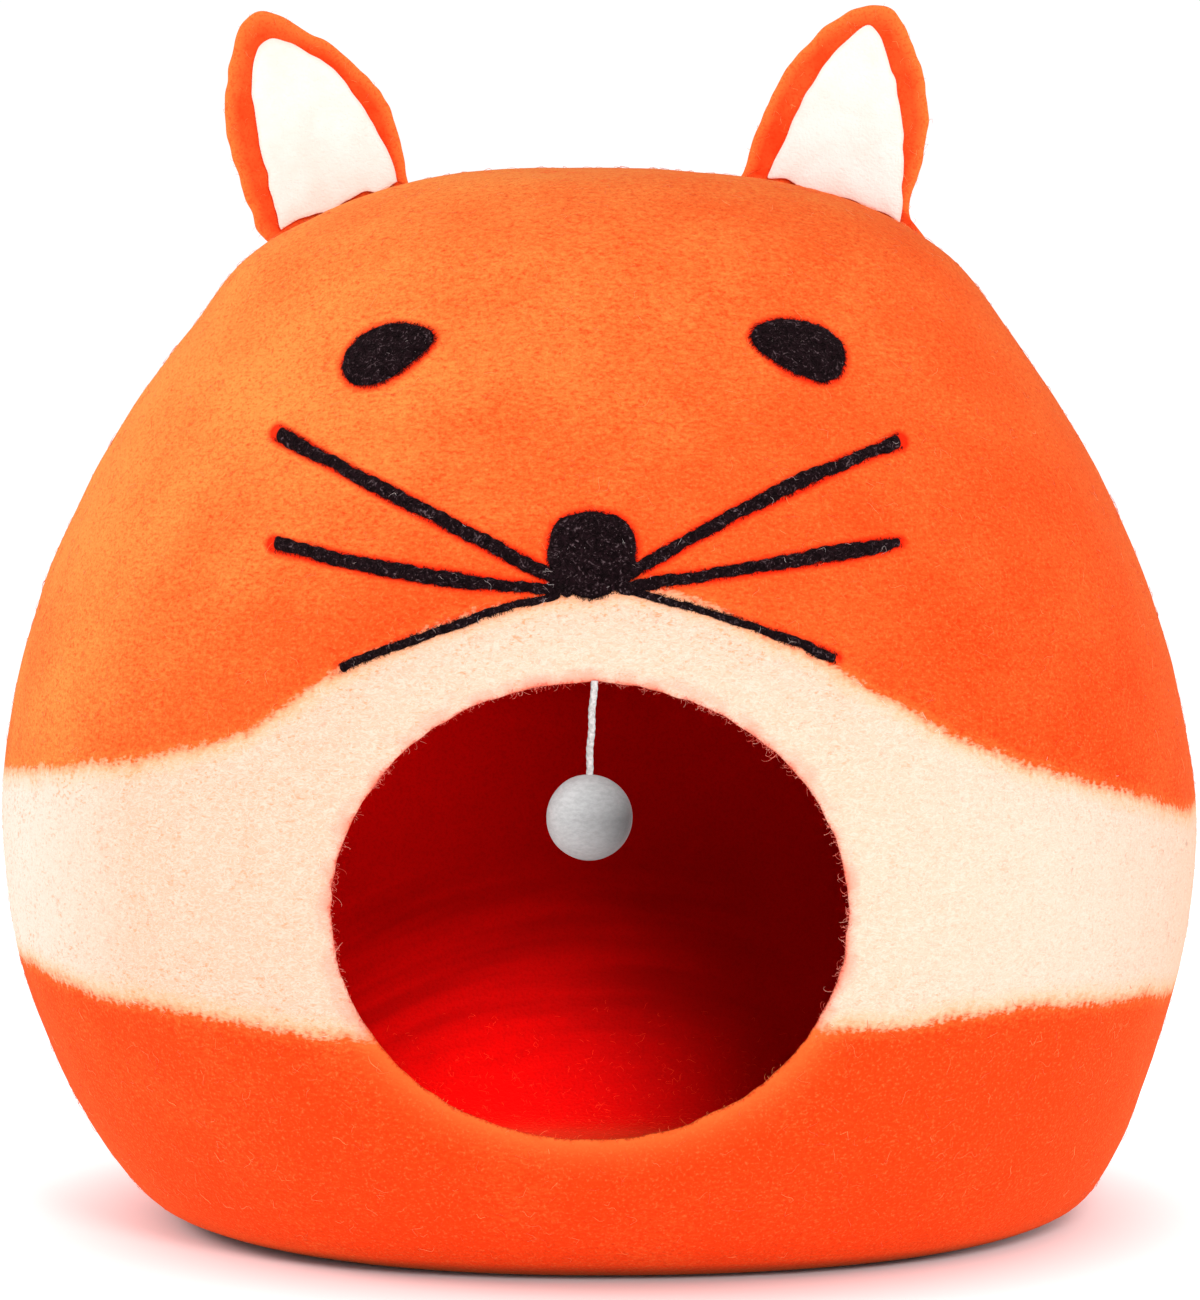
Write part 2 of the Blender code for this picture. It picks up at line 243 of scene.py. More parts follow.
# %% [markdown]
# ## The unevenness of hand work
#
# Felt is never quite even, because some places are rubbed more than others. Lattice noise gives
# such soft lumps: random numbers sit on the corners of a cubic lattice, and between the corners
# they are blended with a smooth step. The lattice repeats after 32 cells, and its numbers come from
# a fixed seed, so every run makes the same cave.

# %% Soft lumps
LATTICE = 32


def lumps(points, cell, seed):
    """Smooth noise between -1 and 1, with lumps about one cell wide."""
    values = np.random.default_rng(seed).uniform(-1, 1, (LATTICE,) * 3)
    scaled = np.asarray(points) / cell
    corner = np.floor(scaled).astype(int)
    share = scaled - corner
    share = share * share * (3 - 2 * share)
    total = np.zeros(scaled.shape[:-1])
    for dx in (0, 1):
        for dy in (0, 1):
            for dz in (0, 1):
                index = (corner + (dx, dy, dz)) % LATTICE
                weight = np.prod(np.where((dx, dy, dz), share, 1 - share), axis=-1)
                total += weight * values[index[..., 0], index[..., 1], index[..., 2]]
    return total


def smooth_step(value, low, high):
    """0 below low, 1 above high and a soft rise between them."""
    share = np.clip((np.asarray(value, float) - low) / (high - low), 0, 1)
    return share * share * (3 - 2 * share)


print("lumps:", np.round(lumps(np.array([[0.01, 0.02, 0.03], [0.2, 0.1, 0.0]]), 0.03, 1), 2))

# %% [markdown]
# ## The form of the shell
#
# The cave is a round loaf, a little higher and fuller on one side than on the other. Its form is a
# stack of level sections. Each is a superellipse, which is a curve between an ellipse and a
# rectangle, with a reach of its own to the left, right, front and back. A smooth curve through the
# table's rows gives the reaches between them, the same way as the solid was made.

# %% Level sections
SHELL_SECTIONS = (
    # height, left, right, front, back (millimetres)
    (0, 150, 172, 148, 153),
    (7, 183, 200, 168, 172),
    (28, 205, 216, 186, 187),
    (62, 225, 229, 205, 203),
    (110, 242, 243, 222, 215),
    (165, 249, 249, 229, 219),
    (212, 245, 243, 224, 214),
    (254, 235, 232, 210, 203),
    (296, 218, 215, 191, 187),
    (335, 197, 194, 168, 168),
    (371, 171, 170, 143, 145),
    (402, 146, 145, 117, 120),
    (424, 104, 105, 82, 88),
    (434, 62, 60, 48, 52),
    (437, 0, 0, 0, 0),
)
SQUARENESS = 2.15
TOP = 437 * MM
WALL = 7 * MM


def smooth_stretches(before, start, end, after, steps):
    """Catmull-Rom: each stretch from start to end leaves them in the directions of its neighbours."""
    p0, p1, p2, p3 = (part[:, None] for part in (before, start, end, after))
    t = (np.arange(steps) / steps)[None, :, None]
    curve = (
        2 * p1
        + (p2 - p0) * t
        + (2 * p0 - 5 * p1 + 4 * p2 - p3) * t**2
        + (3 * p1 - p0 - 3 * p2 + p3) * t**3
    ) / 2
    return curve.reshape(-1, start.shape[1])


def smooth_through(rows, steps):
    """A smooth curve through the rows, mirrored past both ends so that it leaves them level."""
    rows = np.asarray(rows, float)
    before = np.concatenate([rows[1, :1], 2 * rows[0, 1:] - rows[1, 1:]])
    after = np.concatenate([rows[-2, :1], -rows[-2, 1:]])
    rows = np.vstack([before, rows, after])
    curve = smooth_stretches(rows[:-3], rows[1:-2], rows[2:-1], rows[3:], steps)
    return np.vstack([curve, rows[-2]]) * MM


FINE_SECTIONS = smooth_through(SHELL_SECTIONS, 40)


def reach(height, side):
    """How far the form reaches at a height, to side 1 left, 2 right, 3 front or 4 back."""
    return np.interp(height, FINE_SECTIONS[:, 0], FINE_SECTIONS[:, side])


def inside_form(points):
    """True where (|x| / reach)^n + (|y| / reach)^n is below 1, between the floor and the top."""
    x, y, z = np.moveaxis(points, -1, 0)
    across = np.abs(x) / np.maximum(np.where(x < 0, reach(z, 1), reach(z, 2)), 1e-5)
    deep = np.abs(y) / np.maximum(np.where(y < 0, reach(z, 3), reach(z, 4)), 1e-5)
    return (across**SQUARENESS + deep**SQUARENESS < 1) & (z > 0) & (z < TOP)


def front_y(x, z):
    """The front face's y at a place seen from the front."""
    side = np.where(x < 0, reach(z, 1), reach(z, 2))
    within = np.clip(1 - np.abs(x / side) ** SQUARENESS, 0, 1)
    return -reach(z, 3) * within ** (1 / SQUARENESS)


PAST_THE_FORM = 0.7  # metres from the den, farther than the form reaches anywhere


def rays_to_form(centre, directions):
    """Where rays from inside leave the form. Halving an interval 40 times finds each place."""
    near = np.zeros(directions.shape[:-1])
    far = np.full(directions.shape[:-1], PAST_THE_FORM)
    for _ in range(40):
        middle = (near + far) / 2
        within = inside_form(centre + directions * middle[..., None])
        near = np.where(within, middle, near)
        far = np.where(within, far, middle)
    return centre + directions * near[..., None]


solid_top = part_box("shell")[1][2]
print("the solid's top differs from the form's by", round(abs(solid_top - TOP) / MM, 2), "mm")

# %% [markdown]
# ## One skin, from the lip to the back and in again
#
# The shell is a single grid. Its columns run round the mouth, and its rows run from the lip over
# the face, sides, roof and floor to one point in the middle of the back. Each grid point is where a
# ray from inside the den leaves the form, so cells stay even and no hole has to be cut. The lip
# is a half round, and the inner skin is the outer one moved in by the wall. Towards the
# lip the outer face rolls inwards, because a cut edge is rubbed round with wet hands.

# %% The outer grid
MOUTH_X, MOUTH_Z = -4 * MM, 149 * MM
MOUTH_HALF_WIDTH, MOUTH_HALF_HEIGHT = 99 * MM, 89 * MM
LIP_BULGE = 3 * MM
COLUMNS = 384
OUTER_ROWS = 176
LIP_ROWS = 9
INNER_ROWS = 60
EVENNESS = 0.65  # the share of the rows' spacing that is even; the rest grows with the square

turn = 2 * np.pi * np.arange(COLUMNS) / COLUMNS
rim_x = (MOUTH_HALF_WIDTH + LIP_BULGE) * np.cos(turn)
rim_z = (MOUTH_HALF_HEIGHT + LIP_BULGE) * np.sin(turn)
den_middle = np.array([MOUTH_X, 0.0, MOUTH_Z])
rim_away = np.hypot(rim_x, rim_z)
rim_angle = np.arctan2(rim_away, -front_y(MOUTH_X + rim_x, MOUTH_Z + rim_z))


def outer_rows(count):
    """The form seen from the den: rings of rays that open from the mouth's edge to the back."""
    share = np.arange(count) / count
    share = (EVENNESS * share + (1 - EVENNESS) * share**2)[:, None]
    opening = rim_angle + (np.pi - rim_angle) * share
    directions = np.stack(
        [
            np.sin(opening) * rim_x / rim_away,
            -np.cos(opening),
            np.sin(opening) * rim_z / rim_away,
        ],
        axis=-1,
    )
    return rays_to_form(den_middle, directions)


def unit(vectors):
    """Vectors divided by their own length."""
    return vectors / np.maximum(np.linalg.norm(vectors, axis=-1, keepdims=True), 1e-12)


def ring_normals(grid):
    """Unit normals of a grid whose columns close, from its differences along rows and columns."""
    along = np.gradient(grid, axis=0)
    around = np.roll(grid, -1, axis=1) - np.roll(grid, 1, axis=1)
    return unit(np.cross(around, along))


outer_form = outer_rows(OUTER_ROWS)
outer_normals = ring_normals(outer_form)
away_from_den = np.sum(outer_normals * (outer_form - den_middle), axis=-1)
outer_normals *= np.sign(away_from_den)[..., None]
one_way = bool((away_from_den > 0).all() or (away_from_den < 0).all())
print("outer grid:", outer_form.shape, "faces all one way:", one_way)

# %% Lumps, lip and inner skin
ROLL_DEPTH = 2.4 * MM
ROLL_WIDTH = 10 * MM
LOW_ROLL_WIDTH = 15 * MM
DENT = 0.9 * MM
THINNEST_FLOOR = 3 * MM

from_lip = np.cumsum(np.linalg.norm(np.diff(outer_form, axis=0, prepend=outer_form[:1]), axis=-1), axis=0)
roll_width = ROLL_WIDTH + (LOW_ROLL_WIDTH - ROLL_WIDTH) * smooth_step(-np.sin(turn), 0.2, 1.0)
roll = ROLL_DEPTH * np.exp(-((from_lip / roll_width) ** 2))
off_floor = smooth_step(outer_form[..., 2], 0.5 * MM, 14 * MM)
near_lip = np.exp(-from_lip / (12 * MM))


def unevenness(points):
    """How far the felt stands out from the even form: broad dents, hand marks and small lumps."""
    broad = lumps(points, 55 * MM, 3)
    marks = lumps(points, 21 * MM, 4)
    small = lumps(points, 8 * MM, 5)
    return DENT * (broad + 0.4 * marks + 0.16 * small)


outer = outer_form + outer_normals * (unevenness(outer_form) * off_floor - roll)[..., None]
outer[..., 2] = np.maximum(outer[..., 2], 0)

inner_steps = np.linspace(0, 1, INNER_ROWS) ** 1.15 * (OUTER_ROWS - 1)
inner_pick = np.unique(np.round(inner_steps).astype(int))
inner_form = outer_form[inner_pick] - outer_normals[inner_pick] * WALL
inner_roll = 0.5 * roll[inner_pick]
inner_uneven = 1.5 * DENT * lumps(inner_form, 48 * MM, 6) + 0.5 * DENT * lumps(inner_form, 17 * MM, 7)
inner_fade = 1 - near_lip[inner_pick]
inner = inner_form + outer_normals[inner_pick] * (inner_roll + inner_uneven * inner_fade)[..., None]
inner[..., 2] = np.maximum(inner[..., 2], THINNEST_FLOOR)

lip_turn = np.linspace(-np.pi / 2, np.pi / 2, LIP_ROWS + 2)[1:-1, None, None]
lip_middle = (outer[0] + inner[0]) / 2
lip_half = (outer[0] - inner[0]) / 2
into_mouth = -unit(outer_form[1] - outer_form[0])
lip_uneven = 0.18 * lumps(outer_form[0], 14 * MM, 8) + 0.18 * lumps(outer_form[0], 5 * MM, 9)
lip_length = LIP_BULGE * (1 + lip_uneven)[:, None]
lip = lip_middle - lip_half * np.sin(lip_turn) + into_mouth * lip_length * np.cos(lip_turn)

skin = np.concatenate([outer[::-1], lip, inner])
back_outer = rays_to_form(den_middle, np.array([[0.0, 1.0, 0.0]]))[0]
back_inner = back_outer - np.array([0, WALL, 0])
print("skin:", skin.shape, "roll at the lip:", round(float(roll.max() / MM), 1), "mm")

# %% [markdown]
# ## The pale band
#
# A band of cream wool lies round the cave over the orange. It is narrow on the sides and climbs
# over the mouth like a fox's muzzle. Its edges are given as heights over the floor, by the angle
# round the cave. Between two rows of the table the height runs in a straight line, and a running
# mean takes off the corners. Each point of the skin keeps how far it lies inside the band, and the
# material turns that into a frayed edge.

# %% Edges of the band
BAND_TOP = (
    # degrees from the middle of the face, to the right, and height (millimetres)
    (-180, 188),
    (-125, 184),
    (-76, 190),
    (-51, 200),
    (-36, 213),
    (-27, 238),
    (-21, 249),
    (-15, 259),
    (-9, 266),
    (-3, 270),
    (4, 272),
    (9, 268.5),
    (15, 258),
    (20, 249),
    (25, 238),
    (31, 223),
    (36, 212),
    (46, 198),
    (58, 186),
    (71, 173),
    (120, 178),
    (180, 188),
)
BAND_FOOT = (
    # degrees from the middle of the face, to the right, and height (millimetres)
    (-180, 107),
    (-70, 115),
    (-40, 107),
    (-30, 102),
    (25, 105),
    (45, 109),
    (62, 106),
    (75, 101),
    (130, 104),
    (180, 107),
)


def round_the_cave(rows, angle):
    """Heights between the table's rows, softened by a running mean over five degrees."""
    rows = np.array(rows, float)
    degrees = np.arange(-180, 181)
    heights = np.interp(degrees, rows[:, 0], rows[:, 1])
    softened = np.convolve(np.pad(heights[:-1], 2, mode="wrap"), np.full(5, 1 / 5), "valid")
    return np.interp(angle, degrees[:-1], softened, period=360) * MM


def inside_band(points):
    """Distance in metres from the nearer edge of the band, above 0 inside it."""
    angle = np.degrees(np.arctan2(points[..., 0], -points[..., 1]))
    height = points[..., 2]
    below_top = round_the_cave(BAND_TOP, angle) - height
    over_foot = height - round_the_cave(BAND_FOOT, angle)
    ragged = 1.2 * MM * lumps(points, 9 * MM, 11) + 1.4 * MM * lumps(points, 28 * MM, 12)
    return np.minimum(below_top, over_foot) + ragged


skin_points = skin.reshape(-1, 3)
band = inside_band(skin_points)
print("share of the skin in the band:", round(float((band > 0).mean()), 2))

# %% [markdown]
# ## Where the face lies
#
# The face is drawn before anything is coloured, because the felt round it is coloured by it too. The
# eyes and the nose are closed curves through a few places; the whiskers are parabolas. Close to black
# wool the felt is painted a deeper red, as painted shade round the black pieces. Each point of the
# shell keeps how far it lies from every black piece.

# %% Outlines of eyes and nose
EYE_LEFT = (
    # places across and up the face (millimetres)
    (-100.5, 354.5), (-99.0, 360.0), (-95.3, 365.3), (-89.0, 369.3), (-80.0, 371.5), (-71.5, 370.6),
    (-65.0, 368.3), (-65.0, 363.5), (-71.0, 357.5), (-79.5, 351.5), (-88.0, 347.6), (-96.0, 348.5),
)  # fmt: skip
EYE_RIGHT = (
    (95.5, 358.0), (94.0, 364.0), (87.0, 369.8), (78.3, 372.6), (69.5, 373.3), (62.0, 371.6),
    (58.7, 367.5), (60.5, 362.7), (66.0, 358.3), (72.9, 353.5), (80.6, 350.2), (87.0, 348.7),
    (93.0, 351.3),
)  # fmt: skip
NOSE = (
    (-18.8, 290.0), (-16.3, 295.6), (-11.6, 298.5), (-3.0, 300.0), (5.6, 298.5), (9.8, 295.6),
    (12.8, 290.5), (13.5, 284.5), (12.6, 277.5), (9.2, 272.3), (3.5, 269.6), (-3.5, 267.6),
    (-10.0, 269.6), (-15.0, 272.3), (-18.4, 277.5), (-19.6, 284.0),
)  # fmt: skip
PADS = (
    # name, CAD node, outline, its middle (millimetres), thickness (millimetres) and seed
    ("needled_eye_left", "eye_left", EYE_LEFT, (-82, 360), 2.1, 40),
    ("needled_eye_right", "eye_right", EYE_RIGHT, (78, 361), 2.1, 44),
    ("needled_nose", "nose", NOSE, (-3, 284), 2.5, 50),
)


def closed_curve(corners, count):
    """Places evenly spaced along the smooth closed curve through the corners."""
    corners = np.asarray(corners, float) * MM
    curve = smooth_stretches(*(np.roll(corners, shift, axis=0) for shift in (1, 0, -1, -2)), 24)
    closed = np.vstack([curve, curve[:1]])
    walk = np.concatenate([[0], np.cumsum(np.linalg.norm(np.diff(closed, axis=0), axis=1))])
    even = np.linspace(0, walk[-1], count, endpoint=False)
    return np.stack([np.interp(even, walk, closed[:, axis]) for axis in (0, 1)], axis=1)


def outside(points, outline, middle):
    """How far places lie outside an outline, along the ray from its middle."""
    way = points[..., [0, 2]] - middle
    edge = outline - middle
    edge_angle = np.arctan2(edge[:, 1], edge[:, 0])
    order = np.argsort(edge_angle)
    reach_there = np.linalg.norm(edge, axis=1)[order]
    angle = np.arctan2(way[..., 1], way[..., 0])
    return np.linalg.norm(way, axis=-1) - np.interp(angle, edge_angle[order], reach_there, period=2 * np.pi)


# %% Paths of the whiskers
WHISKERS = (
    # name, outer end x and z, middle x and z, inner end x and z (millimetres), the share by which
    # it runs on under the nose, and its widths from the outer end to the inner one, evenly spaced
    ("left_top", -125, 329, -71, 302, -20, 277, 0.06,
     (6.0, 5.4, 4.5, 4.4, 5.4, 5.4, 4.6, 4.9, 4.9, 5.1, 4.9, 4.8)),
    ("left_mid", -125, 287, -71, 277, -16, 271, 0.05,
     (5.2, 4.5, 5.0, 4.7, 5.4, 5.5, 5.4, 5.4, 4.7, 3.6, 3.7, 4.4)),
    ("left_low", -98, 241, -61, 256, -26, 267, 0.16,
     (3.2, 3.1, 2.9, 3.1, 3.2, 2.7, 3.1, 3.3, 3.0, 2.7, 2.6, 2.7)),
    ("right_top", 116, 326, 64, 305, 15, 279, 0.06,
     (5.8, 3.9, 4.4, 4.6, 5.7, 5.4, 4.9, 4.4, 4.7, 4.0, 4.9, 4.2)),
    ("right_mid", 115, 288, 64, 280, 11, 272, 0.04,
     (3.0, 4.9, 5.6, 5.8, 5.0, 4.8, 4.1, 4.0, 3.9, 3.9, 4.6, 3.9)),
    ("right_low", 89, 245, 53, 259, 18, 269, 0.14,
     (3.4, 3.8, 3.1, 3.2, 2.6, 2.5, 2.8, 2.3, 2.4, 2.5, 2.6, 2.7)),
)  # fmt: skip


def through_three(outer_end, middle, inner_end, share):
    """The parabola that passes the middle place half way along."""
    return (
        outer_end * (1 - share) * (1 - 2 * share)
        + middle * 4 * share * (1 - share)
        + inner_end * share * (2 * share - 1)
    )


def whisker_path(whisker, share):
    """Places across and up the face along a whisker, and half its width there."""
    places = np.array(whisker[1:7], float).reshape(3, 1, 2) * MM
    widths = np.array(whisker[8]) * MM / 2
    return through_three(*places, share[:, None]), np.interp(share, np.linspace(0, 1, len(widths)), widths)


WHISKER_STEPS = 60


def beside_whisker(points, whisker):
    """How far places lie below a whisker and beyond its ends, and its half width there."""
    path, half_width = whisker_path(whisker, np.linspace(0, 1 + whisker[7], WHISKER_STEPS))
    ahead = unit(np.gradient(path, axis=0))
    away = points[:, None, [0, 2]] - path
    nearest = np.argmin(np.sum(away**2, axis=-1), axis=1)
    away = away[np.arange(len(points)), nearest]
    ahead = ahead[nearest]
    across = (away[:, 0] * ahead[:, 1] - away[:, 1] * ahead[:, 0]) * np.sign(ahead[:, 0])
    at_an_end = (nearest == 0) | (nearest == WHISKER_STEPS - 1)
    beyond = np.where(at_an_end, np.abs(np.sum(away * ahead, axis=1)), 0)
    return np.stack([across, beyond, half_width[nearest]], axis=1)


FAR_OFF = 50 * MM
on_face = (skin_points[:, 1] < -60 * MM) & (np.abs(skin_points[:, 0]) < 150 * MM)
on_face &= (skin_points[:, 2] > 225 * MM) & (skin_points[:, 2] < 390 * MM)
on_face[len(outer) * COLUMNS :] = False
face_points = skin_points[on_face]
pad_outlines = {pad[0]: closed_curve(pad[2], 96) for pad in PADS}
from_pads = np.min([outside(face_points, pad_outlines[p[0]], np.array(p[3]) * MM) for p in PADS], axis=0)
beside = {}
for height in ("top", "mid", "low"):
    left, right = (
        beside_whisker(face_points, next(w for w in WHISKERS if w[0] == side + "_" + height))
        for side in ("left", "right")
    )
    beside[height] = np.where(face_points[:, :1] < -3 * MM, left, right)
print("points of the face:", len(face_points))

# %% [markdown]
# ## How felt looks
#
# Felt has no weave. Close up it is a mat of crimped fibres that run every way, with pits between
# them and a haze of loose ends that catches light along the edges. The material makes this from
# patterns on the object's own coordinates: fine grain, streaks that lie level, as the last layer of
# wool was laid, and thin winding lines where a distorted noise crosses its middle value. The same
# patterns drive colour and bump, and a sheen gives the haze.

# %% Shader helpers
def add_node(tree, kind, inputs, **settings):
    """A shader node; an input is either linked from another node's socket or set to a value."""
    made = tree.nodes.new(kind)
    for key, value in settings.items():
        setattr(made, key, value)
    for key, value in inputs.items():
        if isinstance(value, bpy.types.NodeSocket):
            tree.links.new(value, made.inputs[key])
        else:
            made.inputs[key].default_value = value
    return made


def maths(tree, operation, *values, clamped=False):
    """One step of arithmetic on a material's numbers, kept between 0 and 1 where it is clamped."""
    made = add_node(tree, "ShaderNodeMath", dict(enumerate(values)), operation=operation)
    made.use_clamp = clamped
    return made.outputs[0]


def times(tree, first, second, clamped=False):
    """The product of two numbers, kept between 0 and 1 where it is clamped."""
    return maths(tree, "MULTIPLY", first, second, clamped=clamped)


def plus(tree, first, second, clamped=False):
    """The sum of two numbers, kept between 0 and 1 where it is clamped."""
    return maths(tree, "ADD", first, second, clamped=clamped)


def noise(tree, where, scale, detail=3.0, roughness=0.6, distortion=0.0):
    """Soft noise about a half; scale is in lumps a metre, and detail adds finer ones to them."""
    inputs = {
        "Vector": where,
        "Scale": scale,
        "Detail": detail,
        "Roughness": roughness,
        "Distortion": distortion,
    }
    return add_node(tree, "ShaderNodeTexNoise", inputs).outputs["Fac"]


def ramp(tree, value, low, high, to_low=0.0, to_high=1.0):
    """The value carried from one span to another, in a straight line, and held at its ends."""
    inputs = {"Value": value, "From Min": low, "From Max": high, "To Min": to_low, "To Max": to_high}
    return add_node(tree, "ShaderNodeMapRange", inputs).outputs["Result"]


def mixed(tree, share, first, second):
    """Two colours mixed; each is a socket or three numbers."""
    first, second = (c if isinstance(c, bpy.types.NodeSocket) else (*c, 1.0) for c in (first, second))
    made = tree.nodes.new("ShaderNodeMix")
    made.data_type = "RGBA"
    for index, value in ((0, share), (6, first), (7, second)):
        if isinstance(value, bpy.types.NodeSocket):
            tree.links.new(value, made.inputs[index])
        else:
            made.inputs[index].default_value = value
    return made.outputs[2]


def winding_lines(tree, where, scale, distortion, thinness):
    """Thin curved lines, 1 on the line and 0 off it, where a noise crosses its middle value."""
    value = noise(tree, where, scale, detail=0.0, distortion=distortion)
    off_middle = maths(tree, "ABSOLUTE", maths(tree, "SUBTRACT", value, 0.5))
    return maths(tree, "SUBTRACT", 1.0, times(tree, off_middle, thinness), clamped=True)


def object_place(tree):
    """The place of a point on its object, in metres."""
    return tree.nodes.new("ShaderNodeTexCoord").outputs["Object"]


def attribute_value(tree, name):
    """The number that the mesh's points carry under this name."""
    return add_node(tree, "ShaderNodeAttribute", {}, attribute_name=name).outputs["Fac"]


def stretched(tree, where, factors):
    """Coordinates multiplied by three factors: a pattern is longest where its factor is least."""
    return add_node(tree, "ShaderNodeVectorMath", {0: where, 1: factors}, operation="MULTIPLY").outputs[0]


def felt_patterns(tree, where):
    """Fine grain, level streaks and winding loops of felt, each between 0 and 1."""
    grain = noise(tree, where, 820.0, detail=1.0, roughness=0.7)
    level = stretched(tree, where, (1.0, 1.0, 2.2))
    streaks = noise(tree, level, 360.0, detail=2.0, roughness=0.75)
    loops = winding_lines(tree, level, 260.0, 1.8, 9.0)
    return grain, streaks, loops


def felt_bump(tree, shader, patterns, depth):
    """Bump from the grain and the streaks; depth is their height in metres."""
    height = plus(tree, patterns[0], patterns[1])
    bump = add_node(tree, "ShaderNodeBump", {"Strength": 0.8, "Distance": depth, "Height": height})
    tree.links.new(bump.outputs["Normal"], shader.inputs["Normal"])


def soft_finish(shader, sheen, tint, roughness=0.95):
    """Wool scatters light all ways and has a pale haze of fibre ends at its edges."""
    shader.inputs["Roughness"].default_value = roughness
    shader.inputs["Specular IOR Level"].default_value = 0.03
    shader.inputs["Sheen Weight"].default_value = sheen
    shader.inputs["Sheen Roughness"].default_value = 0.45
    shader.inputs["Sheen Tint"].default_value = (*tint, 1)


# %% [markdown]
# ## The shell's wool
#
# The orange is one dye lot. It is painted deeper low down and on the right and paler towards the roof
# and the left, as painted light. Its lowest few millimetres are painted brown as shade, where the
# foot stands in its own shadow. The band is a thin veil of cream, so orange fibres show through it in
# flecks, most of all near its edges. Inside, the same wool is painted a deeper red as shade, lighter
# to the left and up as painted light.

# %% Orange wool
DEEP_ORANGE = (0.87, 0.046, 0.0048)
MID_ORANGE = (0.89, 0.112, 0.0190)
PALE_ORANGE = (0.92, 0.270, 0.0560)
PIT_ORANGE = (0.66, 0.030, 0.0040)
TIP_ORANGE = (0.95, 0.290, 0.0850)
SHEEN_TINT = (1.0, 0.58, 0.16)
FOOT_PAINTED_SHADE = (0.30, 0.008, 0.003)


def orange_colour(tree, where, patterns):
    """Deep orange low down to pale at the roof and on the left as painted light, broken up by the patterns.
    """
    grain, streaks, _ = patterns
    parts = add_node(tree, "ShaderNodeSeparateXYZ", {"Vector": where}).outputs
    cloud = noise(tree, where, 22.0, detail=1.0)
    # Painted light: paler towards the roof and on the left, deeper low down and on the right.
    up = ramp(tree, parts["Z"], 0.07, 0.34, 0.0, 0.46)
    start = ramp(tree, parts["Z"], 0.25, 0.36, -0.09, 0.12)
    left = ramp(tree, parts["X"], start, -0.21, 0.0, 0.50)
    left = times(tree, left, ramp(tree, parts["Z"], 0.10, 0.22))
    right = ramp(tree, parts["X"], 0.08, 0.20, 0.0, 0.09)
    share = maths(tree, "SUBTRACT", plus(tree, up, left), right)
    share = plus(tree, share, ramp(tree, cloud, 0.3, 0.7, -0.10, 0.10))
    share = plus(tree, share, ramp(tree, streaks, 0.25, 0.75, -0.22, 0.22), clamped=True)
    low_half = ramp(tree, share, 0.0, 0.5)
    high_half = ramp(tree, share, 0.5, 1.0)
    colour = mixed(tree, high_half, mixed(tree, low_half, DEEP_ORANGE, MID_ORANGE), PALE_ORANGE)
    colour = mixed(tree, ramp(tree, grain, 0.46, 0.26, 0.0, 0.50), colour, PIT_ORANGE)
    colour = mixed(tree, ramp(tree, streaks, 0.42, 0.28, 0.0, 0.30), colour, PIT_ORANGE)
    colour = mixed(tree, ramp(tree, grain, 0.56, 0.76, 0.0, 0.26), colour, TIP_ORANGE)
    # Painted shade: the lowest few millimetres turn brown, where the foot stands in its own shadow.
    return mixed(tree, ramp(tree, parts["Z"], 7.5 * MM, 3 * MM, 0.0, 0.85), colour, FOOT_PAINTED_SHADE)


# %% Cream wool
CREAM = (0.86, 0.550, 0.410)
CREAM_WARM = (0.85, 0.420, 0.285)
CREAM_FLECK = (0.82, 0.270, 0.105)
CREAM_PALE = (0.91, 0.720, 0.620)
CREAM_LIT_EDGE = (0.92, 0.790, 0.720)


def cream_colour(tree, where, patterns):
    """Cream, warm at the front left and painted paler by light at the sides, with flecks of orange from
    below.
    """
    grain, streaks, loops = patterns
    parts = add_node(tree, "ShaderNodeSeparateXYZ", {"Vector": where}).outputs
    level = stretched(tree, where, (1.0, 1.0, 1.9))
    flecks = ramp(tree, noise(tree, level, 400.0, detail=1.0), 0.55, 0.70, 0.0, 0.80)
    near_edge = ramp(tree, attribute_value(tree, "band"), 4 * MM, 24 * MM, 1.0, 0.60)
    off_right = ramp(tree, parts["X"], 0.02, 0.13, 1.0, 0.50)
    flecks = times(tree, flecks, times(tree, near_edge, off_right))
    thick = ramp(tree, noise(tree, where, 70.0, detail=1.0), 0.38, 0.62, 0.30, 1.0)
    warm = ramp(tree, parts["X"], -0.03, -0.11, 0.0, 0.32)
    warm = plus(tree, warm, ramp(tree, streaks, 0.4, 0.7, 0.0, 0.35))
    colour = mixed(tree, warm, CREAM, CREAM_WARM)
    # Painted light: nearly white at the far left edge under the side lamp, and paler on the right in the
    # key light.
    colour = mixed(tree, ramp(tree, parts["X"], -0.18, -0.235, 0.0, 0.75), colour, CREAM_LIT_EDGE)
    colour = mixed(tree, ramp(tree, parts["X"], 0.09, 0.19, 0.0, 0.35), colour, CREAM_PALE)
    colour = mixed(tree, ramp(tree, grain, 0.46, 0.26, 0.0, 0.45), colour, CREAM_WARM)
    colour = mixed(tree, times(tree, flecks, thick), colour, CREAM_FLECK)
    return mixed(tree, times(tree, loops, 0.50), colour, CREAM_PALE)


# %% Painted shade round the black wool
def shade_near_black(tree):
    """Painted shade: 1 beside black wool, and 0 from about three millimetres off."""
    near = ramp(tree, attribute_value(tree, "pads"), 0.5 * MM, 3.4 * MM, 1.0, 0.0)
    for height in ("top", "mid", "low"):
        vector = add_node(tree, "ShaderNodeAttribute", {}, attribute_name="whiskers_" + height)
        parts = add_node(tree, "ShaderNodeSeparateXYZ", {"Vector": vector.outputs["Vector"]}).outputs
        across, beyond = (times(tree, parts[axis], parts[axis]) for axis in ("X", "Y"))
        away = maths(tree, "SQRT", plus(tree, across, beyond))
        away = maths(tree, "SUBTRACT", away, parts["Z"])
        near = maths(tree, "MAXIMUM", near, ramp(tree, away, 0.3 * MM, 2.4 * MM, 1.0, 0.0))
    return near


# %% Inside the den
INNER_SHADE_DARK = (0.54, 0.0005, 0.0006)
INNER_SHADE_RED = (0.83, 0.0009, 0.0008)


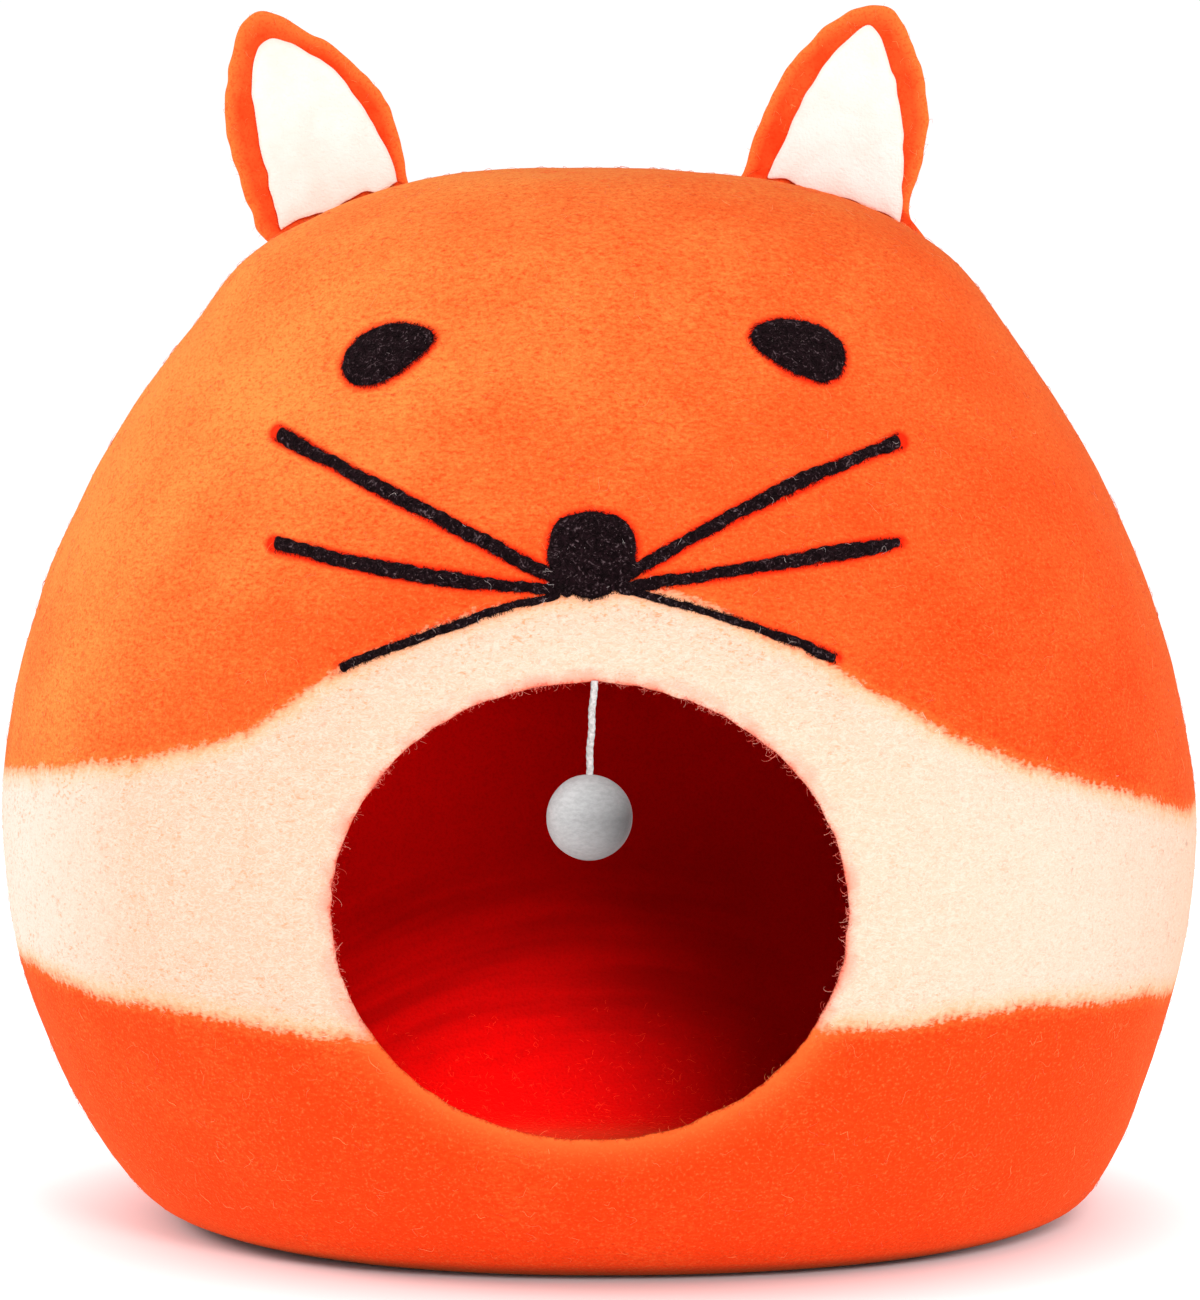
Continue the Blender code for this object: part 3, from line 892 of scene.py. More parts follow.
def den_colour(tree, where, patterns):
    """Deep red as painted shade, painted lighter to the left and up, and darker along folds that arch over
    the floor.
    """
    parts = add_node(tree, "ShaderNodeSeparateXYZ", {"Vector": where}).outputs
    # Painted shade: deep red all over, with painted light towards the left and up.
    left = ramp(tree, parts["X"], 0.02, -0.16, 0.0, 0.75)
    high = ramp(tree, parts["Z"], 0.13, 0.19, 0.0, 0.60)
    red = mixed(tree, plus(tree, left, high, clamped=True), INNER_SHADE_DARK, INNER_SHADE_RED)
    arch = times(tree, times(tree, parts["X"], parts["X"]), 2.2)
    inputs = {
        "X": times(tree, parts["X"], 9.0),
        "Y": 0.0,
        "Z": times(tree, plus(tree, parts["Z"], arch), 105.0),
    }
    along_folds = add_node(tree, "ShaderNodeCombineXYZ", inputs).outputs[0]
    folds = ramp(tree, noise(tree, along_folds, 1.0, detail=1.0), 0.36, 0.60)
    over_floor = ramp(tree, parts["Z"], 0.025, 0.055)
    below_eye = ramp(tree, parts["Z"], 0.135, 0.10)
    shown = times(tree, over_floor, below_eye)
    shown = times(tree, shown, ramp(tree, parts["X"], 0.09, 0.03))
    # Painted shade along the folds over the back of the floor.
    dark = times(tree, shown, maths(tree, "SUBTRACT", 1.0, folds))
    red = mixed(tree, times(tree, dark, 0.24), red, (0.05, 0.0, 0.0))
    return mixed(tree, ramp(tree, patterns[0], 0.55, 0.30, 0.0, 0.14), red, (0.05, 0.0, 0.0))


# %% The shell's material
LIP_ORANGE = (0.93, 0.150, 0.030)
LIP_REFLECTED_PINK = (0.90, 0.330, 0.240)
LIP_SALMON = (0.88, 0.210, 0.130)
VEIL_TAN = (0.92, 0.44, 0.19)

shell_material, shell_tree, shell_shader = shaded("shell felt")
where = object_place(shell_tree)
patterns = felt_patterns(shell_tree, where)
orange = orange_colour(shell_tree, where, patterns)
cream = cream_colour(shell_tree, where, patterns)
painted_black_edge_shade = shade_near_black(shell_tree)
# Painted shade: the orange turns deep red and the cream darker close to black wool.
orange = mixed(shell_tree, times(shell_tree, painted_black_edge_shade, 0.95), orange, (0.84, 0.013, 0.002))
cream = mixed(shell_tree, times(shell_tree, painted_black_edge_shade, 0.5), cream, (0.80, 0.25, 0.12))

upright = noise(shell_tree, stretched(shell_tree, where, (1.0, 1.0, 0.5)), 480.0, detail=0.0)
fray = ramp(shell_tree, upright, 0.25, 0.75, -1.0 * MM, 1.0 * MM)
edge = plus(shell_tree, attribute_value(shell_tree, "band"), fray)
edge = plus(shell_tree, edge, ramp(shell_tree, patterns[1], 0.25, 0.75, -1.7 * MM, 1.7 * MM))
cover = ramp(shell_tree, edge, -2.6 * MM, 2.8 * MM)
thinned = ramp(shell_tree, edge, -7 * MM, -1.5 * MM, 0.0, 0.22)
orange = mixed(shell_tree, thinned, orange, PALE_ORANGE)
veil_share = times(shell_tree, cover, 1.6, clamped=True)
veil = times(shell_tree, ramp(shell_tree, edge, 0.5 * MM, 8 * MM, 0.50, 0.0), veil_share)
colour = mixed(shell_tree, cover, orange, cream)
colour = mixed(shell_tree, veil, colour, VEIL_TAN)

at_lip = attribute_value(shell_tree, "lip")
lip_patches = noise(shell_tree, where, 95.0, detail=1.0)
lip_flecks = ramp(shell_tree, lip_patches, 0.3, 0.7, -0.25, 0.35)
on_orange = maths(shell_tree, "SUBTRACT", 1.0, cover)
# Painted highlight: the orange is lighter along the lip, where the rolled edge faces the light.
lip_highlight = times(shell_tree, ramp(shell_tree, at_lip, 0.1, 1.0, 0.0, 0.6), on_orange)
colour = mixed(shell_tree, lip_highlight, colour, LIP_ORANGE)
# Painted reflection and shade: the cream turns pink in patches along the lip, where red light from the den
# falls on it.
pink = ramp(shell_tree, plus(shell_tree, at_lip, lip_flecks), 0.72, 1.30, 0.0, 0.70)
pink = times(shell_tree, pink, cover)
colour = mixed(shell_tree, pink, colour, LIP_REFLECTED_PINK)
rim = ramp(shell_tree, attribute_value(shell_tree, "inner"), 0.05, 0.40)
rim = times(shell_tree, rim, ramp(shell_tree, lip_patches, 0.42, 0.60, 0.25, 0.85))
colour = mixed(shell_tree, rim, colour, mixed(shell_tree, cover, LIP_ORANGE, LIP_SALMON))
grain_share = ramp(shell_tree, patterns[0], 0.3, 0.7, -0.2, 0.2)
inner_share = plus(shell_tree, attribute_value(shell_tree, "inner"), grain_share)
inner_share = ramp(shell_tree, inner_share, 0.35, 0.75)
colour = mixed(shell_tree, inner_share, colour, den_colour(shell_tree, where, patterns))
shell_tree.links.new(colour, shell_shader.inputs["Base Color"])
felt_bump(shell_tree, shell_shader, patterns, 0.55 * MM)
soft_finish(shell_shader, 0.18, SHEEN_TINT)
print("nodes in the shell's material:", len(shell_tree.nodes))

# %% The shell
shell = closed_tube("felt_shell", skin, back_outer, back_inner, shell_material)


def with_tips(values, tip_values):
    """Numbers of the skin's grid in the mesh's order, followed by those of its two tips."""
    on_grid = np.asarray(values).reshape(len(skin_points), -1)
    return np.concatenate([on_grid, np.array(tip_values).reshape(2, -1)])


def add_face_attribute(name, values, far):
    """Numbers on the face's points, and far ones on all others."""
    everywhere = np.tile(np.array(far), (len(skin_points), 1))
    everywhere[on_face] = values
    add_attribute(shell, name, with_tips(everywhere, [far, far]))


close_to_lip = np.exp(-from_lip / (7 * MM))
lip_share = [close_to_lip[::-1], np.ones(lip.shape[:2]), close_to_lip[inner_pick]]
through_lip = np.linspace(0, 1, LIP_ROWS + 2)[1:-1, None] * np.ones(COLUMNS)
inner_part = [np.zeros(outer.shape[:2]), through_lip, np.ones(inner.shape[:2])]
add_attribute(shell, "band", with_tips(band, [inside_band(back_outer)] * 2))
add_attribute(shell, "lip", with_tips(np.concatenate(lip_share), [0.0, 0.0]))
add_attribute(shell, "inner", with_tips(np.concatenate(inner_part), [0.0, 1.0]))
add_face_attribute("pads", from_pads[:, None], [FAR_OFF])
for height in ("top", "mid", "low"):
    add_face_attribute("whiskers_" + height, beside[height], [0.0, FAR_OFF, 0.0])
finish_piece(shell, "orange_felt", "shell")


# %% [markdown]
# ## The ears
#
# Each ear is a flap of the same orange felt, set on the roof and rubbed until the seam is gone. The
# two were cut by eye, so each has an outline of its own: steep on the outer side, with a long slope
# on the inner one. A flap is a set of rings that run from the middle of its back over the rim to
# the middle of its front. Its foot follows the roof, a little way into the felt.

# %% Ear outlines
EAR_LEFT = (
    (-139.5, 408), (-146.0, 421), (-150.3, 433), (-154.0, 446), (-155.8, 459), (-155.0, 472),
    (-152.6, 484), (-150.0, 494.5), (-145.5, 500.6), (-139.5, 502.3), (-130.0, 498.8), (-120.5, 493.3),
    (-109.5, 487), (-99.0, 478), (-90.3, 467), (-84.3, 453), (-81.6, 441), (-79.6, 431),
    (-78.0, 421), (-95.0, 405), (-120.0, 398),
)  # fmt: skip
EAR_RIGHT = (
    (56.5, 427), (59.8, 436), (62.0, 445.5), (66.0, 455.5), (70.6, 465.5), (76.0, 475.5),
    (83.2, 485.5), (92.0, 494.7), (100.0, 500.2), (108.5, 504.2), (115.5, 505.2), (121.5, 502.8),
    (126.0, 496.5), (129.6, 489), (133.0, 479.5), (135.5, 469.5), (136.4, 460), (135.7, 450),
    (133.9, 440.5), (131.2, 431), (128.7, 423), (129.8, 415), (135.0, 406), (115.0, 400),
    (90.0, 408), (70.0, 415),
)  # fmt: skip
WHITE_LEFT = (
    (-135.0, 491), (-140.8, 488), (-143.6, 481), (-144.2, 470), (-143.5, 459), (-141.7, 448),
    (-138.9, 437), (-136.6, 427), (-134.6, 419), (-132.0, 411), (-125.0, 412), (-112.0, 417.5),
    (-98.0, 421.5), (-86.0, 425), (-84.6, 434), (-88.2, 444), (-92.5, 452), (-98.0, 461.5),
    (-105.0, 471.5), (-113.5, 480), (-125.0, 487.3),
)  # fmt: skip
WHITE_RIGHT = (
    (111.0, 496.3), (103.5, 491.3), (96.5, 484), (89.6, 475), (84.0, 465), (79.2, 455),
    (75.5, 446), (71.5, 438.5), (70.0, 430), (84.4, 426), (103.0, 420), (113.5, 415.5),
    (122.5, 412), (125.2, 419), (125.6, 430), (125.9, 445), (125.2, 457), (123.7, 467),
    (121.4, 477), (118.3, 486.5), (115.3, 493.3),
)  # fmt: skip
EARS = (
    # side, outline, its middle, the white patch's outline, its middle (millimetres)
    ("left", EAR_LEFT, (-117, 447), WHITE_LEFT, (-118, 448)),
    ("right", EAR_RIGHT, (100, 452), WHITE_RIGHT, (103, 450)),
)
EAR_THICKNESS = 6 * MM
EAR_FRONT = 4 * MM
EAR_CUP = 5 * MM
EAR_HALF_WIDTH = 35 * MM
WHITE_THICKNESS = 2 * MM
SUNK = 2.5 * MM  # how deep a piece's foot sits in the felt


def on_ear(flat, middle, forward):
    """Places in front of an ear's cupped middle sheet."""
    cup = EAR_CUP * ((flat[..., 0] - middle[0]) / EAR_HALF_WIDTH) ** 2
    return np.stack([flat[..., 0], -EAR_FRONT - cup - forward, flat[..., 1]], axis=-1)


def roof_height(x, y):
    """The roof's height at a place, from an interval that is halved 24 times."""
    low, high = np.full(x.shape, 0.25), np.full(x.shape, TOP)
    for _ in range(24):
        half_way = (low + high) / 2
        buried = inside_form(np.stack([x, y, half_way], axis=-1))
        low, high = np.where(buried, half_way, low), np.where(buried, high, half_way)
    return low


def footed_outline(corners, middle, count, depth, wander, seed, lobes=0.0):
    """A closed curve with small waves whose foot is raised to the roof, less a depth, in lobes."""
    outline = closed_curve(corners, count)
    wave = lumps(np.pad(outline, ((0, 0), (0, 1))), 5.5 * MM, seed)
    outline = outline + unit(outline - middle) * wander * wave[:, None]
    roof = roof_height(outline[:, 0], on_ear(outline, middle, 0.0)[:, 1])
    foot = roof - depth + lobes * lumps(np.pad(outline[:, :1], ((0, 0), (0, 2))), 7 * MM, seed + 5)
    outline[:, 1] = np.maximum(outline[:, 1], foot)
    return closed_curve(outline / MM, count)


def pad_profile(rows):
    """Radius and lift of a soft pad's section, from the middle of its back over a round rim."""
    angle = np.linspace(-np.pi / 2, np.pi / 2, rows + 2)[1:-1]
    radius = np.cos(angle) ** 0.5
    lift = 0.5 + 0.5 * np.sign(np.sin(angle)) * np.abs(np.sin(angle)) ** 1.3
    return radius[:, None], lift[:, None]


def add_rim(piece, radius, columns):
    """Writes down how near the rim each point of a pad lies, 1 on the rim and 0 at its two tips."""
    add_attribute(piece, "rim", np.append(np.repeat(radius.ravel(), columns), [0.0, 0.0]))


def outward(grid):
    """Unit normals of a closed tube's grid that point out of it."""
    normals = ring_normals(grid)
    way = np.sum(normals * (grid - grid.mean(axis=(0, 1))))
    return normals * np.sign(way)


# %% The ears' felt
ear_material, ear_tree, ear_shader = shaded("ear felt")
where = object_place(ear_tree)
patterns = felt_patterns(ear_tree, where)
ear_clouds = ramp(ear_tree, noise(ear_tree, where, 55.0, detail=3.0), 0.35, 0.65)
ear_colour = mixed(ear_tree, ear_clouds, (0.88, 0.050, 0.0085), (0.90, 0.090, 0.018))
# Painted highlight: the ear's edge is lighter orange, where its fuzz catches the light.
ear_edge_highlight = ramp(ear_tree, attribute_value(ear_tree, "rim"), 0.84, 1.0)
ear_colour = mixed(ear_tree, ear_edge_highlight, ear_colour, (0.93, 0.185, 0.037))
ear_colour = mixed(ear_tree, ramp(ear_tree, patterns[0], 0.50, 0.34, 0.0, 0.4), ear_colour, PIT_ORANGE)
ear_tree.links.new(ear_colour, ear_shader.inputs["Base Color"])
felt_bump(ear_tree, ear_shader, patterns, 0.5 * MM)
soft_finish(ear_shader, 0.18, SHEEN_TINT)

EAR_ROWS = 30
ear_grids = {}
for number, (side, corners, middle, _, _) in enumerate(EARS):
    middle = np.array(middle) * MM
    outline = footed_outline(corners, middle, 220, SUNK, 0.55 * MM, 20 + number)
    radius, lift = pad_profile(EAR_ROWS)
    flat = middle + (outline - middle) * radius[..., None]
    grid = on_ear(flat, middle, (lift - 0.5) * EAR_THICKNESS)
    grid += outward(grid) * (0.35 * MM * lumps(grid, 12 * MM, 24 + number))[..., None]
    back, front = (on_ear(middle, middle, side_of * EAR_THICKNESS / 2) for side_of in (-1, 1))
    piece = closed_tube("felt_ear_" + side, grid, back, front, ear_material)
    add_rim(piece, radius, len(outline))
    finish_piece(piece, "orange_felt", "ear_" + side)
    ear_grids[side] = grid

# %% [markdown]
# ## The white inside of the ears
#
# A thin pad of white wool is laid on the front of each ear and pricked down all round, so its
# border is soft and a little wavy. Its foot ends on the roof in small lobes.

# %% White patches
white_material, white_tree, white_shader = shaded("white wool")
where = object_place(white_tree)
patterns = felt_patterns(white_tree, where)
white_clouds = ramp(white_tree, noise(white_tree, where, 70.0, detail=4.0), 0.4, 0.68, 0.0, 0.7)
white_colour = mixed(white_tree, white_clouds, (0.88, 0.80, 0.745), (0.88, 0.72, 0.65))
pink_rim = ramp(white_tree, attribute_value(white_tree, "rim"), 0.93, 1.0, 0.0, 0.3)
white_colour = mixed(white_tree, pink_rim, white_colour, (0.90, 0.42, 0.28))
white_tree.links.new(white_colour, white_shader.inputs["Base Color"])
felt_bump(white_tree, white_shader, patterns, 0.5 * MM)
soft_finish(white_shader, 0.1, (1.0, 0.95, 0.9))

WHITE_ROWS = 20
for number, (side, _, middle, white_corners, white_middle) in enumerate(EARS):
    middle, white_middle = np.array(middle) * MM, np.array(white_middle) * MM
    outline = footed_outline(white_corners, white_middle, 200, 0.2 * MM, 0.6 * MM, 30 + number, 1.6 * MM)
    radius, lift = pad_profile(WHITE_ROWS)
    flat = white_middle + (outline - white_middle) * radius[..., None]
    lifted = EAR_THICKNESS / 2 - 0.6 * MM + lift * (WHITE_THICKNESS + 0.7 * MM) * np.ones(len(outline))
    lifted += lift * 0.35 * MM * lumps(on_ear(flat, middle, lifted), 8 * MM, 34 + number)
    grid = on_ear(flat, middle, lifted)
    back, front = (on_ear(white_middle, middle, edge) for edge in (lifted[0].mean(), lifted[-1].mean()))
    piece = closed_tube("white_patch_" + side, grid, back, front, white_material)
    add_rim(piece, radius, len(outline))
    finish_piece(piece, "cream_felt", "inner_ear_" + side)

# %% [markdown]
# ## Eyes and nose
#
# The eyes and the nose are black wool, laid on loose and needled down from the edge inwards. Each
# is a low pad whose rim dips into the orange felt. Needling leaves swirls and small pits, so the
# pads are the lumpiest pieces of all, and their outlines wander by half a millimetre.

# %% Places on the felt
def on_felt(flat, lifted):
    """Places over the face: the form's front, its unevenness and a lift, along the form's normal."""
    x, z = flat[..., 0], flat[..., 1]
    step = 1 * MM
    place = np.stack([x, front_y(x, z), z], axis=-1)
    slope_x = (front_y(x + step, z) - front_y(x - step, z)) / (2 * step)
    slope_z = (front_y(x, z + step) - front_y(x, z - step)) / (2 * step)
    normal = unit(np.stack([slope_x, -np.ones(x.shape), slope_z], axis=-1))
    return place + normal * (unevenness(place) + lifted)[..., None]


def flat_lumps(flat, cell, seed):
    """The same noise as lumps, for places across and up."""
    return lumps(np.concatenate([flat, np.zeros((*flat.shape[:-1], 1))], axis=-1), cell, seed)


# %% Black wool
SOOT = (0.0035, 0.0012, 0.0017)
SOOT_BROWN = (0.014, 0.0055, 0.0075)
SOOT_SHINE = (0.150, 0.100, 0.110)


def black_wool(name):
    """Nearly black wool; its winding fibres are paler where the grain stands up, partly painted highlight.
    """
    material, tree, shader = shaded(name)
    where = object_place(tree)
    grain = noise(tree, where, 820.0, detail=1.0, roughness=0.7)
    knots = noise(tree, where, 420.0, detail=1.0, distortion=1.5)
    swirls = winding_lines(tree, where, 210.0, 3.0, 11.0)
    soot = mixed(tree, ramp(tree, knots, 0.35, 0.65), SOOT, SOOT_BROWN)
    # Painted highlight and fibre colour: the winding fibres turn paler brown-grey where the grain stands
    # up.
    shine = times(tree, swirls, ramp(tree, knots, 0.53, 0.68, 0.0, 1.0))
    tree.links.new(mixed(tree, shine, soot, SOOT_SHINE), shader.inputs["Base Color"])
    height = plus(tree, times(tree, swirls, 0.6), plus(tree, grain, knots))
    bump = add_node(tree, "ShaderNodeBump", {"Strength": 1.0, "Distance": 0.9 * MM, "Height": height})
    tree.links.new(bump.outputs["Normal"], shader.inputs["Normal"])
    soft_finish(shader, 0.03, (0.8, 0.45, 0.5), roughness=0.8)
    return material


black_material = black_wool("black wool")

# %% Needled pads
PAD_ROWS = 44
for name, node, _, middle, thickness, seed in PADS:
    middle = np.array(middle) * MM
    outline = pad_outlines[name]
    radius, lift = pad_profile(PAD_ROWS)
    wander = 1 + 0.03 * flat_lumps(outline, 2.6 * MM, seed)
    flat = middle + (outline - middle) * (wander[:, None] * radius[..., None])
    swirl = 0.55 * MM * flat_lumps(flat, 4.2 * MM, seed + 1)
    swirl += 0.30 * MM * flat_lumps(flat, 1.9 * MM, seed + 2)
    lifted = lift * (thickness * MM + swirl) - 0.8 * MM * (1 - lift)
    back, front = (on_felt(middle, np.array(edge.mean())) for edge in (lifted[0], lifted[-1]))
    grid = on_felt(flat, lifted)
    piece = closed_tube(name, grid, back, front, black_material)
    finish_piece(piece, "black_felt", node)

# %% [markdown]
# ## Whiskers
#
# Each whisker is one length of black yarn, curved a little and needled down along its middle. Yarn
# is spun, so its section isn't round: it has two soft lobes that wind along it. It thins and
# swells where the needle caught more or less wool. Its ends are rounded off, as if turned under.

# %% Yarn along the face
WHISKER_FLATNESS = 0.7
YARN_ROWS = 170
YARN_COLUMNS = 18
TWIST = 6 * MM  # length of one turn of the yarn
LOBES = 2


def yarn_grid(whisker, seed):
    """Rings along a whisker: a flattened circle with lobes that turn, closed round at both ends."""
    share = (1 - np.cos(np.pi * np.linspace(0.006, 0.994, YARN_ROWS))) / 2 * (1 + whisker[7])
    path, half_width = whisker_path(whisker, share)
    length = np.cumsum(np.linalg.norm(np.diff(path, axis=0, prepend=path[:1]), axis=1))
    walk = np.stack([length, np.zeros(YARN_ROWS)], axis=1)
    radius = half_width * (1 + 0.05 * flat_lumps(walk, 4 * MM, seed))
    from_end = np.minimum(length, length[-1] - length)
    radius = radius * np.sqrt(1 - np.clip(1 - from_end / (radius * 0.9), 0, 1) ** 2)
    ahead = unit(np.gradient(path, axis=0))
    side = np.stack([-ahead[:, 1], ahead[:, 0]], axis=1)
    path = path + side * (0.5 * MM * flat_lumps(walk, 6.5 * MM, seed + 1))[:, None]
    turned = 2 * np.pi * np.arange(YARN_COLUMNS) / YARN_COLUMNS
    lobes = 1 + 0.10 * np.cos(LOBES * turned - 2 * np.pi * length[:, None] / TWIST)
    across = radius[:, None] * lobes * np.cos(turned)
    lifted = radius[:, None] * lobes * np.sin(turned) * WHISKER_FLATNESS + 0.35 * radius[:, None]
    return on_felt(path[:, None] + side[:, None] * across[..., None], lifted)


yarn_grids = [yarn_grid(whisker, 60 + 3 * number) for number, whisker in enumerate(WHISKERS)]
for whisker, grid in zip(WHISKERS, yarn_grids):
    name = "yarn_whisker_" + whisker[0]
    piece = closed_tube(name, grid, grid[0].mean(axis=0), grid[-1].mean(axis=0), black_material)
    finish_piece(piece, "black_felt", "whisker_" + whisker[0])

# %% [markdown]
# ## The ball on its cord
#
# The toy is a ball of grey felt, rubbed so long that its surface is nearly smooth. It hangs from a
# thin plied cord that goes through the upper lip. Three yarns wind round each other in the cord,
# and the ball weighs so little that a slight wave stays in it. The ball's colour darkens away from
# its upper left, since the studio's light alone would leave its far side too pale.

# %% The cord
TOY_X = -4 * MM
CORD_DIAMETER = 2.6 * MM
CORD_Y = -212.7 * MM
CORD_TOP, CORD_FOOT = 237.7 * MM, 202.7 * MM
PLIES = 3
PLY_TURN = 9 * MM
CORD_ROWS = 90
CORD_LEAN, CORD_WAVE = 1.9 * MM, 0.18 * MM

drop = np.linspace(0, 1, CORD_ROWS)
cord_x = TOY_X + CORD_LEAN * (1 - drop) ** 1.3 + CORD_WAVE * np.sin(drop * 15)
cord_z = CORD_TOP + (CORD_FOOT - CORD_TOP - 0.6 * MM) * drop
cord_middle = np.stack([cord_x, np.full(CORD_ROWS, CORD_Y), cord_z], axis=1)
round_cord = 2 * np.pi * np.arange(24) / 24
fallen = (CORD_TOP - cord_z)[:, None]
plies = 0.88 + 0.20 * np.abs(np.cos(PLIES / 2 * round_cord - np.pi * PLIES * fallen / PLY_TURN))
cord_radius = CORD_DIAMETER / 2 * plies
ways = np.stack([np.cos(round_cord), np.sin(round_cord), np.zeros(24)], axis=-1)
cord_grid = cord_middle[:, None] + ways * cord_radius[..., None]

cord_material, cord_tree, cord_shader = shaded("cord yarn")
where = object_place(cord_tree)
cord_fibres = noise(cord_tree, where, 900.0, detail=3.0)
cord_share = ramp(cord_tree, cord_fibres, 0.35, 0.65)
cord_colour = mixed(cord_tree, cord_share, (0.40, 0.37, 0.36), (0.66, 0.62, 0.61))
cord_tree.links.new(cord_colour, cord_shader.inputs["Base Color"])
cord_relief = {"Strength": 0.6, "Distance": 0.2 * MM, "Height": cord_fibres}
cord_bump = add_node(cord_tree, "ShaderNodeBump", cord_relief)
cord_tree.links.new(cord_bump.outputs["Normal"], cord_shader.inputs["Normal"])
soft_finish(cord_shader, 0.1, (1.0, 1.0, 1.0))
cord = closed_tube("plied_cord", cord_grid, cord_middle[0], cord_middle[-1], cord_material)
finish_piece(cord, "white_cord", "toy_cord")

# %% The ball
BALL_DIAMETER = 32.5 * MM
BALL_ROWS, BALL_COLUMNS = 48, 64
LIGHT_GREY, MID_GREY = (0.56, 0.555, 0.555), (0.46, 0.455, 0.455)
SHADE_GREY = (0.060, 0.058, 0.060)

ball_middle = np.array([TOY_X, CORD_Y, CORD_FOOT - 0.3 * MM - BALL_DIAMETER / 2])
ball_material, ball_tree, ball_shader = shaded("grey felt")
where = object_place(ball_tree)
patterns = felt_patterns(ball_tree, where)
both_places = {0: where, 1: tuple(ball_middle)}
from_ball = add_node(ball_tree, "ShaderNodeVectorMath", both_places, operation="SUBTRACT").outputs[0]
parts = add_node(ball_tree, "ShaderNodeSeparateXYZ", {"Vector": from_ball}).outputs
# Painted shade: the grey darkens away from the upper left and at the very bottom.
upper_half = maths(ball_tree, "MAXIMUM", parts["Z"], 0.0)
from_upper_left = maths(ball_tree, "SUBTRACT", parts["X"], upper_half)
dark = ramp(ball_tree, from_upper_left, -18 * MM, 14 * MM, 0.0, 0.92)
dark = maths(ball_tree, "MAXIMUM", dark, ramp(ball_tree, parts["Z"], -14 * MM, -16 * MM, 0.0, 0.8))
ball_colour = mixed(ball_tree, ramp(ball_tree, patterns[1], 0.35, 0.65), MID_GREY, LIGHT_GREY)
ball_colour = mixed(ball_tree, dark, ball_colour, SHADE_GREY)
ball_tree.links.new(ball_colour, ball_shader.inputs["Base Color"])
felt_bump(ball_tree, ball_shader, patterns, 0.14 * MM)
soft_finish(ball_shader, 0.25, (1.0, 0.80, 0.80))

tilt = np.linspace(0, np.pi, BALL_ROWS + 2)[1:-1, None]
heading = 2 * np.pi * np.arange(BALL_COLUMNS) / BALL_COLUMNS
ball_x, ball_y = np.sin(tilt) * np.cos(heading), np.sin(tilt) * np.sin(heading)
ball_ways = np.stack([ball_x, ball_y, np.cos(tilt) * np.ones(BALL_COLUMNS)], axis=-1)
ball_radius = BALL_DIAMETER / 2 + 0.15 * MM * lumps(ball_ways * BALL_DIAMETER / 2, 9 * MM, 80)
ball_grid = ball_middle + ball_ways * ball_radius[..., None]
pole = np.array([0, 0, BALL_DIAMETER / 2])
ball = closed_tube("felt_ball", ball_grid, ball_middle + pole, ball_middle - pole, ball_material)
finish_piece(ball, "grey_felt", "toy_ball")

# %% [markdown]
# ## Loose fibres
#
# What makes felt look soft is the haze of fibres that aren't locked in. Each fibre is a three-sided
# thread with pointed ends. It leaves the felt, runs on in a bow with a curl across it and dips in
# again. All fibres of a piece are made at once: their roots are spread over the grid's cells by
# area, and their paths are arrays of one more dimension. In the den they lie mostly at the back of
# the floor, where the light falls.

# %% Fibre paths
FIBRE_POINTS = 6


def spread_roots(grid, normals, weight, count, rng):
    """Places on a grid of rings, spread by the area and weight of its cells, with directions."""
    corner, next_row, next_column = grid[:-1], grid[1:], np.roll(grid, -1, axis=1)[:-1]
    along, around = next_row - corner, next_column - corner
    area = np.linalg.norm(np.cross(along, around), axis=-1) * weight[:-1]
    picked = rng.choice(area.size, count, p=area.ravel() / area.sum())
    row, column = np.unravel_index(picked, area.shape)
    u, v = rng.random((2, count, 1))
    place = corner[row, column] + u * along[row, column] + v * around[row, column]
    direction = rng.uniform(0, 2 * np.pi, (count, 1))
    tangent, normal = unit(around[row, column]), normals[row, column]
    return place, normal, np.cos(direction) * tangent + np.sin(direction) * np.cross(normal, tangent)


def bowed_fibres(grid, weight, count, length, height, rng, way=1):
    """Paths that leave the felt, bow over it and dip in again, with a curl across them. They bow
    out of the grid's form where way is 1 and into it where way is -1."""
    place, normal, ahead = spread_roots(grid, outward(grid) * way, weight, count, rng)
    along = np.linspace(0, 1, FIBRE_POINTS)[None, :, None]
    reach_out = rng.uniform(*length, (count, 1, 1)) * MM
    rise = rng.uniform(*height, (count, 1, 1)) * MM
    curl = rng.uniform(-0.35, 0.35, (count, 1, 1)) * reach_out
    wave = rng.uniform(0.6, 1.6, (count, 1, 1))
    sideways = np.cross(normal, ahead)[:, None]
    return (
        place[:, None]
        + ahead[:, None] * reach_out * (along - 0.5)
        + sideways * curl * np.sin(2 * np.pi * wave * along)
        + normal[:, None] * (rise * np.sin(np.pi * along) - 0.25 * MM)
    )


def fibre_mesh(name, paths, thickness, tones, material):
    """Three-sided threads with pointed ends along many paths at once: (fibres, points, 3)."""
    count, steps = paths.shape[:2]
    ahead = unit(np.gradient(paths, axis=1))
    side = unit(np.cross(ahead, (0.31, 0.20, 0.93)))
    other = np.cross(ahead, side)
    width = thickness[:, None] / 2 * np.sin(np.pi * np.linspace(0.04, 0.96, steps)) ** 0.5
    thirds = np.arange(3) * 2 * np.pi / 3
    corners = [side * math.cos(turned) + other * math.sin(turned) for turned in thirds]
    rings = np.stack([paths + corner * width[..., None] for corner in corners], axis=2)
    first = np.arange(count)[:, None, None] * steps * 3
    sides = (tube_faces(steps, 3)[None] + first).reshape(-1, 4)
    ends = np.array([[0, 2, 1], [steps * 3 - 3, steps * 3 - 2, steps * 3 - 1]])
    caps = (ends[None] + first).reshape(-1, 3)
    thing = link_mesh(name, rings.reshape(-1, 3), sides.tolist() + caps.tolist(), material)
    add_attribute(thing, "tone", np.repeat(tones, steps * 3))
    return thing


